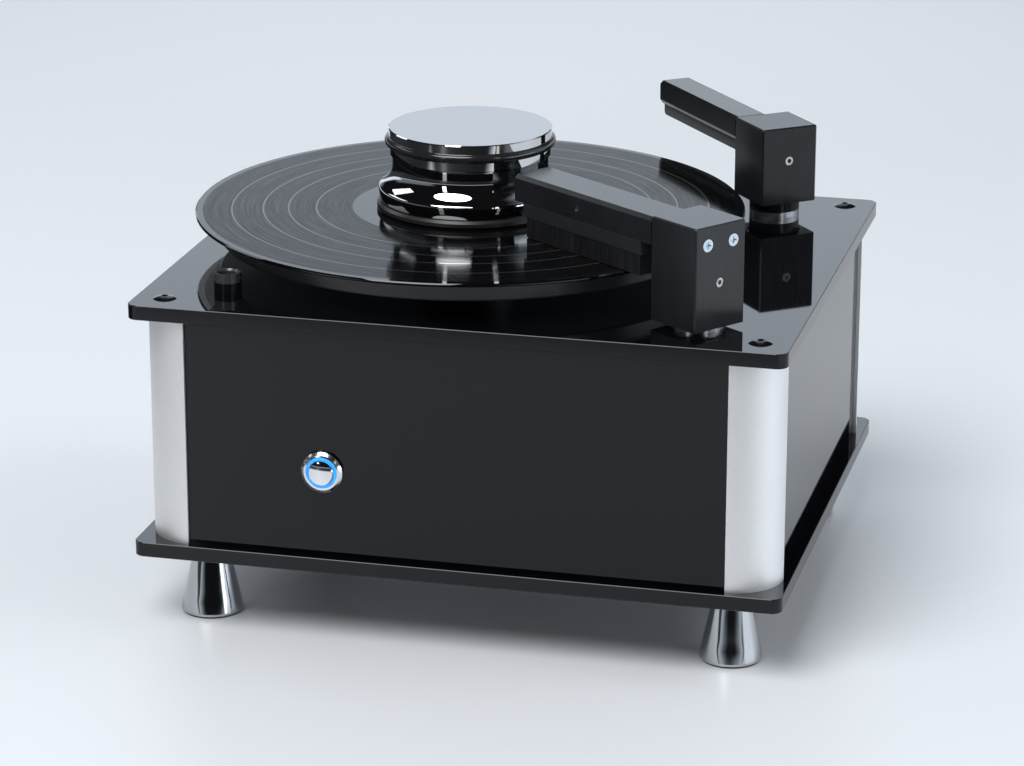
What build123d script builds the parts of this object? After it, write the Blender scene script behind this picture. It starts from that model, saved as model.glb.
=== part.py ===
"""Record cleaning machine: a low casing with a turntable, a record clamp, a brush arm and a suction arm.

Millimetres. X runs to the right along the front, Y to the back and Z up. The origin is on the
standing surface, under the centre of the casing.
"""
import os
from math import acos, cos, radians, sin, sqrt, tan

from build123d import *

os.makedirs("parts", exist_ok=True)

# ---------------------------------------------------------------- casing
PLATE_WIDTH = 353.0
PLATE_DEPTH = 302.0
PLATE_THICKNESS = 8.0
PLATE_CORNER_RADIUS = 6.0
PLATE_EDGE_CHAMFER = 0.3
CASING_GAP = 125.0            # clear height between the two plates
POST_RADIUS = 26.4
POST_INSET = 4.0              # plate edge to the outer face of a post
PANEL_THICKNESS = 3.0
PANEL_SETBACK = 6.0           # plate edge to the outer face of a panel
PANEL_GROOVE_DEPTH = 5.0
PANEL_CLEARANCE = 0.1

# ---------------------------------------------------------------- feet
FOOT_HEIGHT = 41.0            # standing surface to the base plate
FOOT_PAD_HEIGHT = 1.2
FOOT_PAD_RADIUS = 15.8
FOOT_BASE_RADIUS = 16.8
FOOT_TOP_RADIUS = 8.6
FOOT_RIM_HEIGHT = 1.2
FOOT_INSET_X = 32.3
FOOT_INSET_Y = 36.0
FOOT_STUD_RADIUS = 3.0
FOOT_STUD_DEPTH = 12.0        # how far the stud goes down into the foot
FOOT_NUT_FLATS = 10.0
FOOT_NUT_HEIGHT = 5.0
FOOT_STUD_STAND_OUT = 1.0     # above its nut
THREAD_CLEARANCE = 0.05

# ---------------------------------------------------------------- casing screws
SCREW_INSET = 16.6            # plate edge to the screw axis, both ways
SCREW_HEAD_RADIUS = 6.3
SCREW_HEAD_HEIGHT = 1.8
SCREW_RADIUS = 2.5
SCREW_LENGTH = 25.0
SCREW_END_GAP = 2.0           # free thread past the screw, in the post
SCREW_SOCKET_FLATS = 3.2
SCREW_SOCKET_DEPTH = 1.4
SCREW_CLEARANCE = 0.3

# ---------------------------------------------------------------- turntable
AXIS_X = -28.0
AXIS_Y = 1.0
RECORD_RADIUS = 151.6
RECORD_THICKNESS = 1.9
RECORD_TOP_HEIGHT = 23.6      # above the top plate
PLATTER_RADIUS = 139.3
PLATTER_THICKNESS = 9.3
PLATTER_EDGE_CHAMFER = 1.0
MAT_THICKNESS = 2.0
MAT_INSET = 0.8
SPINDLE_RADIUS = 3.6
SPINDLE_FIT = 0.05
SPINDLE_STAND_OUT = 14.0      # above the record
SPINDLE_CHAMFER = 1.0
HUB_RADIUS = 30.0
HUB_THICKNESS = 5.2
SHAFT_RADIUS = 5.0
SHAFT_LENGTH = 58.0           # below the hub
BEARING_RADIUS = 11.0
BEARING_HEIGHT = 7.0
BEARING_WALL = 3.5
HOUSING_SPACE = 2.0           # round the shaft, between the bearings
BEARING_FLANGE_RADIUS = 24.0
BEARING_FLANGE_HEIGHT = 3.5
BEARING_TUBE_DROP = 34.0      # below the top plate's underside
RUNNING_CLEARANCE = 0.05
COUPLING_RADIUS = 9.0
COUPLING_LENGTH = 18.0
COUPLING_GAP = 2.0            # above the motor bracket
SHAFT_END_GAP = 1.0           # between the two shafts in the sleeve
GEARBOX_RADIUS = 18.5
GEARBOX_HEIGHT = 22.0
GEARBOX_OFFSET = 7.0          # output shaft to gearbox centre
MOTOR_RADIUS = 16.5
MOTOR_HEIGHT = 24.0
MOTOR_SHAFT_RADIUS = 3.0
BRACKET_THICKNESS = 3.0
BRACKET_LEG_RADIUS = 3.0
BRACKET_LEG_SPAN = 50.0
BRACKET_MARGIN = 6.0          # round the legs
BRACKET_HOLE_SPACE = 3.0      # round the output shaft

# ---------------------------------------------------------------- record clamp
CLAMP_BASE_RADIUS = 51.6
CLAMP_BASE_HEIGHT = 5.3       # record to the underside of the metal
CLAMP_RING_HEIGHT = 4.7       # of the rubber ring's full width
CLAMP_GROOVE_DEPTH = 2.6      # between the ring and the metal
CLAMP_RING_ROUNDING = 1.4     # of the rubber ring's edges
CLAMP_RING_BORE_SPACE = 1.0   # round the spindle
CLAMP_BORE_SPARE = 2.0        # above the spindle's end
CLAMP_RIM_RADIUS = 50.75
CLAMP_RIM_LEVEL = 11.4        # its widest place, above the record
CLAMP_RIM_ROUNDING = 2.0
CLAMP_FLARE_ROUNDING = 14.0   # of the hollow between the waist and the rim
CLAMP_LOWER_ROUNDING = 20.0
CLAMP_WAIST_RADIUS = 43.2
CLAMP_WAIST_TOP = 29.9        # above the record
CLAMP_BAND_RADIUS = 44.4
CLAMP_BAND_BOTTOM = 30.6      # above the record
CLAMP_BAND_TOP = 35.25        # above the record
CLAMP_CAP_RADIUS = 45.0
CLAMP_CAP_HEIGHT = 4.8
CLAMP_CAP_CHAMFER = 0.5
O_RING_RADIUS = 2.6
O_RING_CLEARANCE = 0.1        # from the groove's root
O_RING_SQUEEZE_GAP = 0.02     # from the groove's walls
O_RING_OUTER_RADIUS = 47.1

# ---------------------------------------------------------------- arms, both
ARM_BLOCK_SIDE = 34.4
ARM_BLOCK_CHAMFER = 0.8
ARM_RING_RADIUS = 14.15
ARM_RING_HEIGHT = 3.2
ARM_RING_CLEARANCE = 0.3
COLUMN_RADIUS = 14.2
COLUMN_TOP_HEIGHT = 20.0      # above the top plate
COLUMN_GAP = 0.2              # turning column above its ring
COUNTERBORE_CLEARANCE = 0.5
STEM_RADIUS = 9.0
STEM_DROP = 37.5              # below the top plate's underside
ARM_SHAFT_RADIUS = 6.0
ARM_SHAFT_COLLAR_RADIUS = 8.0
ARM_SHAFT_COLLAR_HEIGHT = 3.0
ARM_SHAFT_CROWN = 2.0         # closed top of the hollow shaft
ARM_STOP_GAP = 0.3
GUIDE_RADIUS = 13.5
GUIDE_SPIGOT_RADIUS = 12.0
GUIDE_FLANGE_RADIUS = 20.0
GUIDE_FLANGE_HEIGHT = 4.0
GUIDE_DROP = 57.5             # below the top plate's underside
GUIDE_FLOOR = 4.0
GUIDE_PORT_RADIUS = 5.0
GUIDE_PORT_BORE = 3.5
GUIDE_PORT_LENGTH = 9.0
GUIDE_PORT_HEIGHT = 6.0       # port axis above the guide's floor
GRUB_RADIUS = 2.5
GRUB_RECESS = 0.3
GRUB_SOCKET_FLATS = 2.4
GRUB_SOCKET_DEPTH = 2.0

# ---------------------------------------------------------------- brush arm
BRUSH_X = 122.5
BRUSH_Y = -113.0
BRUSH_ANGLE = 143.3           # the way the arm points, from +X
BRUSH_BLOCK_LIFT = 3.0        # block underside above the top plate
BRUSH_BLOCK_HEIGHT = 55.3
BRUSH_COUNTERBORE_DEPTH = 19.1
BRUSH_SHAFT_TOP = 40.0        # above the top plate
BRUSH_SHAFT_BORE = 2.5
BRUSH_TRAVEL = 8.0            # how far the arm lifts
BRUSH_GRUB_HEIGHT = 27.3      # above the top plate
BRUSH_BAR_REACH = 127.4       # column axis to the bar's tip
BRUSH_BAR_DROP = 1.0          # bar top below block top
BRUSH_BAR_HEIGHT = 14.5
BRUSH_BAR_CHAMFER = 2.0
BRUSH_BAR_FLAT = 21.7         # width of the bar's flat top
BRUSH_CHANNEL_RADIUS = 1.5
BRUSH_CHANNEL_HEIGHT = 4.0    # of its axis, above the bar's underside
HOLDER_START = 24.9           # from the column axis
HOLDER_END = 120.0
HOLDER_HEIGHT = 7.6
HOLDER_WIDTH = 20.0
HOLDER_PROUD = 0.4
HOLDER_SLOPE = 1.0            # how far its near side leans back to the bottom
BRISTLE_WIDTH = 15.0
BRISTLE_INSET = 1.4           # behind the holder's near face
BRISTLE_END_INSET = 1.5
BRISTLE_GAP = 0.3             # above the record
BAR_SCREW_RADIUS = 2.0
BAR_SCREW_HEAD_RADIUS = 3.3
BAR_SCREW_HEAD_HEIGHT = 1.6
BAR_SCREW_LENGTH = 45.0
BAR_SCREW_END_GAP = 1.0
BAR_SCREW_SPACING = 17.5
BAR_SCREW_DEPTH = 9.9         # below the block's top
BAR_GRUB_RADIUS = 1.5
BAR_GRUB_LENGTH = 6.0
BAR_GRUB_REACH = 76.4
BAR_GRUB_HEIGHT = 6.3         # above the bar's underside
CROSS_SLOT_WIDTH = 0.8
CROSS_SLOT_DEPTH = 1.0
CROSS_SLOT_LENGTH = 3.6

# ---------------------------------------------------------------- suction arm
SUCTION_X = 122.7
SUCTION_Y = 111.3
SUCTION_ANGLE = 128.1
SUCTION_BLOCK_LIFT = 9.6      # held up by its spring
SUCTION_BLOCK_HEIGHT = 44.2
SUCTION_COUNTERBORE_DEPTH = 20.4
SUCTION_SHAFT_TOP = 43.0
SUCTION_SHAFT_BORE = 4.5
SUCTION_TRAVEL = 9.4          # how far the arm sinks
SUCTION_GRUB_HEIGHT = 34.3
SUCTION_BAR_REACH = 113.5
SUCTION_BAR_HEIGHT = 13.8
SUCTION_BAR_WIDTH = 20.5
SUCTION_BAR_CHAMFER = 2.0
SUCTION_BAR_UNDERCUT = 2.5
SUCTION_UNDERCUT_SHARE = 0.7  # its width over its height
SUCTION_BAR_CROWN = 4.0       # solid above the slot
SUCTION_SLOT_WIDTH = 3.0
SUCTION_SLOT_INSET = 9.0      # from both ends of the bar
LIP_WIDTH = 5.6
LIP_END_INSET = 0.3
LIP_SLOT_GAP = 0.3            # from the slot's edge
LIP_GAP = 0.3                 # above the record when the arm is down
LIP_END_RADIUS = 2.5
SPRING_WIRE_RADIUS = 0.6
SPRING_RADIUS = 9.0
SPRING_TURNS = 6
SPRING_POCKET_RADIUS = 10.5
SPRING_POCKET_DEPTH = 14.0
SPRING_END_GAP = 0.1

# ---------------------------------------------------------------- filler
FILLER_TANK_INSET = 30.3      # clean tank's left side to the filler's axis
FILLER_Y = -110.5
FILLER_RADIUS = 7.4
FILLER_BORE = 5.0
FILLER_HEIGHT = 9.9           # above the top plate
FILLER_SPIGOT_RADIUS = 6.5
FILLER_LIP_CHAMFER = 1.0

# ---------------------------------------------------------------- start button
BUTTON_X = -71.0
BUTTON_HEIGHT = 96.2          # above the standing surface
BEZEL_RADIUS = 11.35
BEZEL_DEPTH = 2.6
BEZEL_CHAMFER = 1.6
BUTTON_BODY_RADIUS = 9.8
BUTTON_BODY_LENGTH = 22.0
LIGHT_RING_RADIUS = 8.5
LIGHT_RING_DEPTH = 2.0
LIGHT_RING_RECESS = 0.3       # below the bezel's face
BUTTON_CAP_RADIUS = 6.9
BUTTON_CAP_PROUD = 1.6        # in front of the bezel
BUTTON_CAP_LENGTH = 14.0
BUTTON_CAP_CHAMFER = 0.5
BUTTON_WELL_SPARE = 1.0       # behind the cap, pressed in
BUTTON_TRAVEL = 1.4
BUTTON_CLEARANCE = 0.1
BUTTON_NUT_RADIUS = 12.5
BUTTON_NUT_HEIGHT = 3.0

# ---------------------------------------------------------------- power inlet and switch
INLET_X = 52.0
SWITCH_X = 92.0
INLET_HEIGHT = 84.0
INLET_FLANGE_WIDTH = 31.0
INLET_FLANGE_HEIGHT = 25.0
INLET_BODY_WIDTH = 27.0
INLET_BODY_HEIGHT = 20.0
INLET_BODY_DEPTH = 22.0
INLET_FLANGE_DEPTH = 2.5
INLET_SOCKET_WIDTH = 24.0
INLET_SOCKET_HEIGHT = 16.0
INLET_SOCKET_DEPTH = 17.0
PIN_WIDTH = 2.0
PIN_HEIGHT = 4.0
PIN_LENGTH = 14.0
PIN_SPACING = 7.0
PIN_RAISE = 2.0
SWITCH_FLANGE_WIDTH = 15.0
SWITCH_FLANGE_HEIGHT = 21.0
SWITCH_BODY_WIDTH = 12.6
SWITCH_BODY_HEIGHT = 18.6
SWITCH_WALL = 1.3
SWITCH_BODY_DEPTH = 18.0
SWITCH_FLANGE_DEPTH = 2.0
ROCKER_WIDTH = 9.2
ROCKER_HEIGHT = 13.8
ROCKER_DEPTH = 3.6            # behind the pivot
ROCKER_WELL_SPARE = 1.5       # behind the rocker
ROCKER_BACK_SHARE = 0.55      # its back's height over its face's
ROCKER_PROUD = 0.3            # middle of the rocker in front of the frame's face
ROCKER_PIVOT_DEPTH = 3.4      # behind the frame's face
ROCKER_ANGLE = 9.0
ROCKER_PIN_RADIUS = 1.0
CUTOUT_CLEARANCE = 0.1

# ---------------------------------------------------------------- inside
TANK_WALL = 3.0
TANK_RAIL_HEIGHT = 10.0
CLEAN_TANK_GAP = 4.5          # from the left panel
CLEAN_TANK_RIGHT = -100.0     # x of its right side
CLEAN_TANK_DEPTH = 96.0
CLEAN_TANK_HEIGHT = 96.0
CLEAN_TANK_Y = -71.5
WASTE_TANK_GAP = 8.5          # from the right panel
WASTE_TANK_LEFT = 43.0        # x of its left side
WASTE_TANK_DEPTH = 112.0
WASTE_TANK_HEIGHT = 84.0
WASTE_TANK_Y = 6.0
RAIL_WIDTH = 12.0
TURBINE_GAP = 8.0             # from the left panel
TURBINE_RADIUS = 43.0
TURBINE_HEIGHT = 58.0
TURBINE_CAP_RADIUS = 24.0
TURBINE_CAP_HEIGHT = 22.0
TURBINE_Y = 70.0
TURBINE_PORT_LENGTH = 14.0
TURBINE_PORT_HEIGHT = 30.0
PUMP_SIZE = (44.0, 26.0, 24.0)
PUMP_X = -62.0
PUMP_Y = BRUSH_Y
PUMP_HEAD_RADIUS = 11.0
PUMP_HEAD_LENGTH = 12.0
SUPPLY_SIZE = (84.0, 44.0, 32.0)
SUPPLY_X = -8.0
SUPPLY_GAP = 9.0              # from the rear panel
BOARD_SIZE = (92.0, 56.0, 1.6)
BOARD_X = 30.0
BOARD_GAP = 10.0              # from the front panel
BOARD_LIFT = 8.0
BOARD_POST_RADIUS = 2.5
BOARD_POST_INSET = 4.0
COMPONENT_SIZE = (14.0, 18.0, 11.0)
COMPONENT_PLACES = (-30.0, -8.0, 16.0)  # along the board, from its centre
COMPONENT_SETBACK = 10.0
PUMP_OUTLET_HEIGHT = 6.0
HOSE_BEND_SHARE = 0.45        # of the shorter run beside a bend
SUCTION_HOSE_X = 58.0         # where the suction hose turns to the waste tank
TURBINE_HOSE_Y = 38.0         # where the turbine's hose enters the waste tank

# ---------------------------------------------------------------- levels worked out from the sizes
BASE_BOTTOM = FOOT_HEIGHT
BASE_TOP = BASE_BOTTOM + PLATE_THICKNESS
TANK_BOTTOM = BASE_TOP + TANK_RAIL_HEIGHT
TOP_BOTTOM = BASE_TOP + CASING_GAP
TOP = TOP_BOTTOM + PLATE_THICKNESS
RECORD_TOP = TOP + RECORD_TOP_HEIGHT
RECORD_BOTTOM = RECORD_TOP - RECORD_THICKNESS
MAT_BOTTOM = RECORD_BOTTOM - MAT_THICKNESS
PLATTER_BOTTOM = MAT_BOTTOM - PLATTER_THICKNESS
HUB_BOTTOM = PLATTER_BOTTOM - HUB_THICKNESS
HALF_W = PLATE_WIDTH / 2
HALF_D = PLATE_DEPTH / 2
POST_X = HALF_W - POST_INSET - POST_RADIUS      # inner corner of each post
POST_Y = HALF_D - POST_INSET - POST_RADIUS
PANEL_Y = HALF_D - PANEL_SETBACK                # outer face of the front and rear panels
PANEL_X = HALF_W - PANEL_SETBACK
INNER_Y = PANEL_Y - PANEL_THICKNESS             # inner faces of the panels
INNER_X = PANEL_X - PANEL_THICKNESS
CLEAN_TANK_LEFT = CLEAN_TANK_GAP - INNER_X
CLEAN_TANK_X = (CLEAN_TANK_LEFT + CLEAN_TANK_RIGHT) / 2
CLEAN_TANK = (CLEAN_TANK_RIGHT - CLEAN_TANK_LEFT, CLEAN_TANK_DEPTH, CLEAN_TANK_HEIGHT)
WASTE_TANK_RIGHT = INNER_X - WASTE_TANK_GAP
WASTE_TANK_X = (WASTE_TANK_LEFT + WASTE_TANK_RIGHT) / 2
WASTE_TANK = (WASTE_TANK_RIGHT - WASTE_TANK_LEFT, WASTE_TANK_DEPTH, WASTE_TANK_HEIGHT)
FILLER_X = CLEAN_TANK_LEFT + FILLER_TANK_INSET
TURBINE_X = TURBINE_GAP + TURBINE_RADIUS - INNER_X
SUPPLY_Y = INNER_Y - SUPPLY_GAP - SUPPLY_SIZE[1] / 2
BOARD_Y = BOARD_GAP + BOARD_SIZE[1] / 2 - INNER_Y
ON_FLOOR = (Align.CENTER, Align.CENTER, Align.MIN)
CORNERS = [(sx, sy) for sx in (-1, 1) for sy in (-1, 1)]


# ---------------------------------------------------------------- helpers
def save(name, shape):
    """Write one node, with its separate solids kept apart."""
    export_step(shape, f"parts/{name}.step")


def rod(radius, height, x=0.0, y=0.0, z=0.0):
    """An upright cylinder that stands at z."""
    return Pos(x, y, z) * Cylinder(radius, height, align=ON_FLOOR)


def tube(outer, inner, height, x=0.0, y=0.0, z=0.0):
    """An upright tube that stands at z."""
    return rod(outer, height, x, y, z) - rod(inner, height, x, y, z)


def brick(width, depth, height, x=0.0, y=0.0, z=0.0):
    """A block centred on x and y that stands at z."""
    return Pos(x, y, z) * Box(width, depth, height, align=ON_FLOOR)


def hexagon(flats, height, x=0.0, y=0.0, z=0.0):
    """An upright hexagonal prism, measured across its flats."""
    return Pos(x, y, z) * extrude(RegularPolygon(flats / 2, 6, major_radius=False), height)


def turned(*points):
    """A solid of revolution about Z from the (radius, height) points of its section."""
    return revolve(Plane.XZ * make_face(Polyline(*points, close=True)), Axis.Z)


def prism(points, length):
    """Extrude a (y, z) section along +X from x = 0."""
    return extrude(Plane.YZ * make_face(Polyline(*points, close=True)), length)


def group(pieces):
    """Keep several separate solids together in one node."""
    return Compound(children=[solid for piece in pieces for solid in piece.solids()])


def lying(radius, length, x, y, z, turn):
    """A cylinder that lies along the direction turn, an angle from +X, starting at (x, y, z)."""
    return Pos(x, y, z) * Rot(0, 0, turn) * Rot(0, 90, 0) * Cylinder(radius, length, align=ON_FLOOR)


# ---------------------------------------------------------------- plates
def plate(z):
    outline = RectangleRounded(PLATE_WIDTH, PLATE_DEPTH, PLATE_CORNER_RADIUS)
    slab = Pos(0, 0, z) * extrude(outline, PLATE_THICKNESS)
    rims = slab.faces().sort_by(Axis.Z)
    return chamfer(rims[0].edges() + rims[-1].edges(), PLATE_EDGE_CHAMFER)


SCREW_PLACES = [(sx * (HALF_W - SCREW_INSET), sy * (HALF_D - SCREW_INSET)) for sx, sy in CORNERS]
FOOT_PLACES = [(sx * (HALF_W - FOOT_INSET_X), sy * (HALF_D - FOOT_INSET_Y)) for sx, sy in CORNERS]


def base_plate():
    body = plate(BASE_BOTTOM)
    for x, y in SCREW_PLACES:
        body -= rod(SCREW_RADIUS + SCREW_CLEARANCE, PLATE_THICKNESS, x, y, BASE_BOTTOM)
    for x, y in FOOT_PLACES:
        body -= rod(FOOT_STUD_RADIUS + THREAD_CLEARANCE, PLATE_THICKNESS, x, y, BASE_BOTTOM)
    return body


def top_plate():
    body = plate(TOP_BOTTOM)
    for x, y in SCREW_PLACES:
        body -= rod(SCREW_RADIUS + SCREW_CLEARANCE, PLATE_THICKNESS, x, y, TOP_BOTTOM)
    holes = [
        (AXIS_X, AXIS_Y, BEARING_RADIUS + BEARING_WALL),
        (FILLER_X, FILLER_Y, FILLER_SPIGOT_RADIUS),
        (BRUSH_X, BRUSH_Y, GUIDE_SPIGOT_RADIUS),
        (SUCTION_X, SUCTION_Y, GUIDE_SPIGOT_RADIUS),
    ]
    for x, y, radius in holes:
        body -= rod(radius + THREAD_CLEARANCE, PLATE_THICKNESS, x, y, TOP_BOTTOM)
    return body


# ---------------------------------------------------------------- posts and panels
def corner_post(sx, sy):
    """A quarter-round bar with its flat sides inwards, grooved for two panels and tapped at both ends."""
    quarter = Circle(POST_RADIUS) & Pos(sx * POST_RADIUS / 2, sy * POST_RADIUS / 2) * Rectangle(
        POST_RADIUS, POST_RADIUS
    )
    post = Pos(sx * POST_X, sy * POST_Y, BASE_TOP) * extrude(quarter, CASING_GAP)
    groove_width = PANEL_THICKNESS + 2 * PANEL_CLEARANCE
    front_mid = PANEL_Y - PANEL_THICKNESS / 2
    side_mid = PANEL_X - PANEL_THICKNESS / 2
    post -= brick(
        2 * PANEL_GROOVE_DEPTH, groove_width, CASING_GAP, sx * POST_X, sy * front_mid, BASE_TOP
    )
    post -= brick(
        groove_width, 2 * PANEL_GROOVE_DEPTH, CASING_GAP, sx * side_mid, sy * POST_Y, BASE_TOP
    )
    depth = SCREW_LENGTH
    x = sx * (HALF_W - SCREW_INSET)
    y = sy * (HALF_D - SCREW_INSET)
    for z in (BASE_TOP, TOP_BOTTOM - depth):
        post -= rod(SCREW_RADIUS + THREAD_CLEARANCE, depth, x, y, z)
    return post


def panel_blank(width, depth, x, y):
    return brick(width, depth, CASING_GAP, x, y, BASE_TOP)


def front_panel():
    length = 2 * (POST_X + PANEL_GROOVE_DEPTH - PANEL_CLEARANCE)
    body = panel_blank(length, PANEL_THICKNESS, 0, -(PANEL_Y - PANEL_THICKNESS / 2))
    hole = lying(
        BUTTON_BODY_RADIUS + CUTOUT_CLEARANCE, 2 * PANEL_THICKNESS,
        BUTTON_X, -PANEL_Y - PANEL_THICKNESS / 2, BUTTON_HEIGHT, 90,
    )
    return body - hole


def rear_panel():
    length = 2 * (POST_X + PANEL_GROOVE_DEPTH - PANEL_CLEARANCE)
    mid = PANEL_Y - PANEL_THICKNESS / 2
    body = panel_blank(length, PANEL_THICKNESS, 0, mid)
    cuts = [
        (INLET_X, INLET_BODY_WIDTH, INLET_BODY_HEIGHT),
        (SWITCH_X, SWITCH_BODY_WIDTH, SWITCH_BODY_HEIGHT),
    ]
    for x, width, height in cuts:
        body -= Pos(x, mid, INLET_HEIGHT) * Box(
            width + 2 * CUTOUT_CLEARANCE, 2 * PANEL_THICKNESS, height + 2 * CUTOUT_CLEARANCE
        )
    return body


def side_panel(side):
    length = 2 * (POST_Y + PANEL_GROOVE_DEPTH - PANEL_CLEARANCE)
    return panel_blank(PANEL_THICKNESS, length, side * (PANEL_X - PANEL_THICKNESS / 2), 0)


# ---------------------------------------------------------------- feet and casing screws
def foot():
    """A turned cone, wide at the bottom, with a short straight rim and a tapped hole in its top."""
    body = turned(
        (0, FOOT_PAD_HEIGHT),
        (FOOT_BASE_RADIUS, FOOT_PAD_HEIGHT),
        (FOOT_BASE_RADIUS, FOOT_PAD_HEIGHT + FOOT_RIM_HEIGHT),
        (FOOT_TOP_RADIUS, FOOT_HEIGHT),
        (0, FOOT_HEIGHT),
    )
    hole = rod(FOOT_STUD_RADIUS + THREAD_CLEARANCE, FOOT_STUD_DEPTH, z=FOOT_HEIGHT - FOOT_STUD_DEPTH)
    return body - hole


def foot_fixings(x, y):
    """The stud that holds one foot, and its nut on the base plate."""
    bottom = FOOT_HEIGHT - FOOT_STUD_DEPTH
    stud = rod(FOOT_STUD_RADIUS, BASE_TOP + FOOT_NUT_HEIGHT + FOOT_STUD_STAND_OUT - bottom, x, y, bottom)
    nut = hexagon(FOOT_NUT_FLATS, FOOT_NUT_HEIGHT, x, y, BASE_TOP)
    nut -= rod(FOOT_STUD_RADIUS + THREAD_CLEARANCE, FOOT_NUT_HEIGHT, x, y, BASE_TOP)
    return [stud, nut]


def dome_screw():
    """A button-head socket screw, head up, seated at z = 0."""
    half = SCREW_HEAD_RADIUS
    rise = SCREW_HEAD_HEIGHT
    dome_radius = (half * half + rise * rise) / (2 * rise)
    head = Pos(0, 0, rise - dome_radius) * Sphere(dome_radius) & rod(half, rise)
    shank_length = PLATE_THICKNESS + SCREW_LENGTH - SCREW_END_GAP
    screw = head + rod(SCREW_RADIUS, shank_length, z=-shank_length)
    return screw - hexagon(SCREW_SOCKET_FLATS, SCREW_SOCKET_DEPTH, z=rise - SCREW_SOCKET_DEPTH)


def case_screws():
    screws = []
    for x, y in SCREW_PLACES:
        screws.append(Pos(x, y, TOP) * dome_screw())
        screws.append(Pos(x, y, BASE_BOTTOM) * Rot(180, 0, 0) * dome_screw())
    return group(screws)


# ---------------------------------------------------------------- turntable
def platter():
    body = turned(
        (0, PLATTER_BOTTOM),
        (PLATTER_RADIUS - PLATTER_EDGE_CHAMFER, PLATTER_BOTTOM),
        (PLATTER_RADIUS, PLATTER_BOTTOM + PLATTER_EDGE_CHAMFER),
        (PLATTER_RADIUS, MAT_BOTTOM - PLATTER_EDGE_CHAMFER / 2),
        (PLATTER_RADIUS - PLATTER_EDGE_CHAMFER / 2, MAT_BOTTOM),
        (0, MAT_BOTTOM),
    )
    body -= rod(SPINDLE_RADIUS + SPINDLE_FIT, PLATTER_THICKNESS, z=PLATTER_BOTTOM)
    return Pos(AXIS_X, AXIS_Y, 0) * body


def platter_mat():
    return tube(
        PLATTER_RADIUS - MAT_INSET, SPINDLE_RADIUS + SPINDLE_FIT, MAT_THICKNESS, AXIS_X, AXIS_Y, MAT_BOTTOM
    )


def record_disc():
    """The 12 inch record: a flat disc with a rounded edge."""
    edge = RECORD_THICKNESS / 3
    body = turned(
        (0, RECORD_BOTTOM),
        (RECORD_RADIUS - edge, RECORD_BOTTOM),
        (RECORD_RADIUS, RECORD_BOTTOM + edge),
        (RECORD_RADIUS, RECORD_TOP - edge),
        (RECORD_RADIUS - edge, RECORD_TOP),
        (0, RECORD_TOP),
    )
    body -= rod(SPINDLE_RADIUS + SPINDLE_FIT, RECORD_THICKNESS, z=RECORD_BOTTOM)
    return Pos(AXIS_X, AXIS_Y, 0) * body


def spindle_shaft():
    """The driven shaft, its hub flange under the platter and the spindle through the record."""
    shaft_bottom = HUB_BOTTOM - SHAFT_LENGTH
    body = rod(HUB_RADIUS, HUB_THICKNESS, z=HUB_BOTTOM)
    body += rod(SHAFT_RADIUS, SHAFT_LENGTH, z=shaft_bottom)
    spindle_height = RECORD_TOP + SPINDLE_STAND_OUT - PLATTER_BOTTOM
    spindle = rod(SPINDLE_RADIUS, spindle_height, z=PLATTER_BOTTOM)
    spindle = chamfer(spindle.edges().sort_by(Axis.Z)[-1], SPINDLE_CHAMFER)
    return Pos(AXIS_X, AXIS_Y, 0) * (body + spindle)


def bearing_housing():
    """A flanged tube through the top plate, bored for a bearing at each end."""
    outer = BEARING_RADIUS + BEARING_WALL
    bottom = TOP_BOTTOM - BEARING_TUBE_DROP
    top = TOP + BEARING_FLANGE_HEIGHT
    body = rod(outer, top - bottom, z=bottom) + rod(BEARING_FLANGE_RADIUS, BEARING_FLANGE_HEIGHT, z=TOP)
    body -= rod(SHAFT_RADIUS + HOUSING_SPACE, top - bottom, z=bottom)
    for z in (bottom, top - BEARING_HEIGHT):
        body -= rod(BEARING_RADIUS + THREAD_CLEARANCE, BEARING_HEIGHT, z=z)
    return Pos(AXIS_X, AXIS_Y, 0) * body


def spindle_bearings():
    bottom = TOP_BOTTOM - BEARING_TUBE_DROP
    top = TOP + BEARING_FLANGE_HEIGHT
    bore = SHAFT_RADIUS + RUNNING_CLEARANCE
    return group(
        tube(BEARING_RADIUS, bore, BEARING_HEIGHT, AXIS_X, AXIS_Y, z) for z in (bottom, top - BEARING_HEIGHT)
    )


SHAFT_BOTTOM = HUB_BOTTOM - SHAFT_LENGTH
COUPLING_BOTTOM = SHAFT_BOTTOM - COUPLING_LENGTH / 2
GEARBOX_TOP = COUPLING_BOTTOM - COUPLING_GAP - BRACKET_THICKNESS
OUTPUT_TOP = SHAFT_BOTTOM - SHAFT_END_GAP
OUTPUT_BOTTOM = GEARBOX_TOP - GEARBOX_HEIGHT / 2


def shaft_coupling():
    """The gear motor's output shaft and the sleeve that joins it to the turntable shaft."""
    sleeve = rod(COUPLING_RADIUS, COUPLING_LENGTH, z=COUPLING_BOTTOM)
    sleeve -= rod(SHAFT_RADIUS + THREAD_CLEARANCE, COUPLING_LENGTH / 2, z=SHAFT_BOTTOM)
    sleeve -= rod(MOTOR_SHAFT_RADIUS + THREAD_CLEARANCE, COUPLING_LENGTH / 2, z=COUPLING_BOTTOM)
    output = rod(MOTOR_SHAFT_RADIUS, OUTPUT_TOP - OUTPUT_BOTTOM, z=OUTPUT_BOTTOM)
    return group(Pos(AXIS_X, AXIS_Y, 0) * piece for piece in (sleeve, output))


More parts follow.
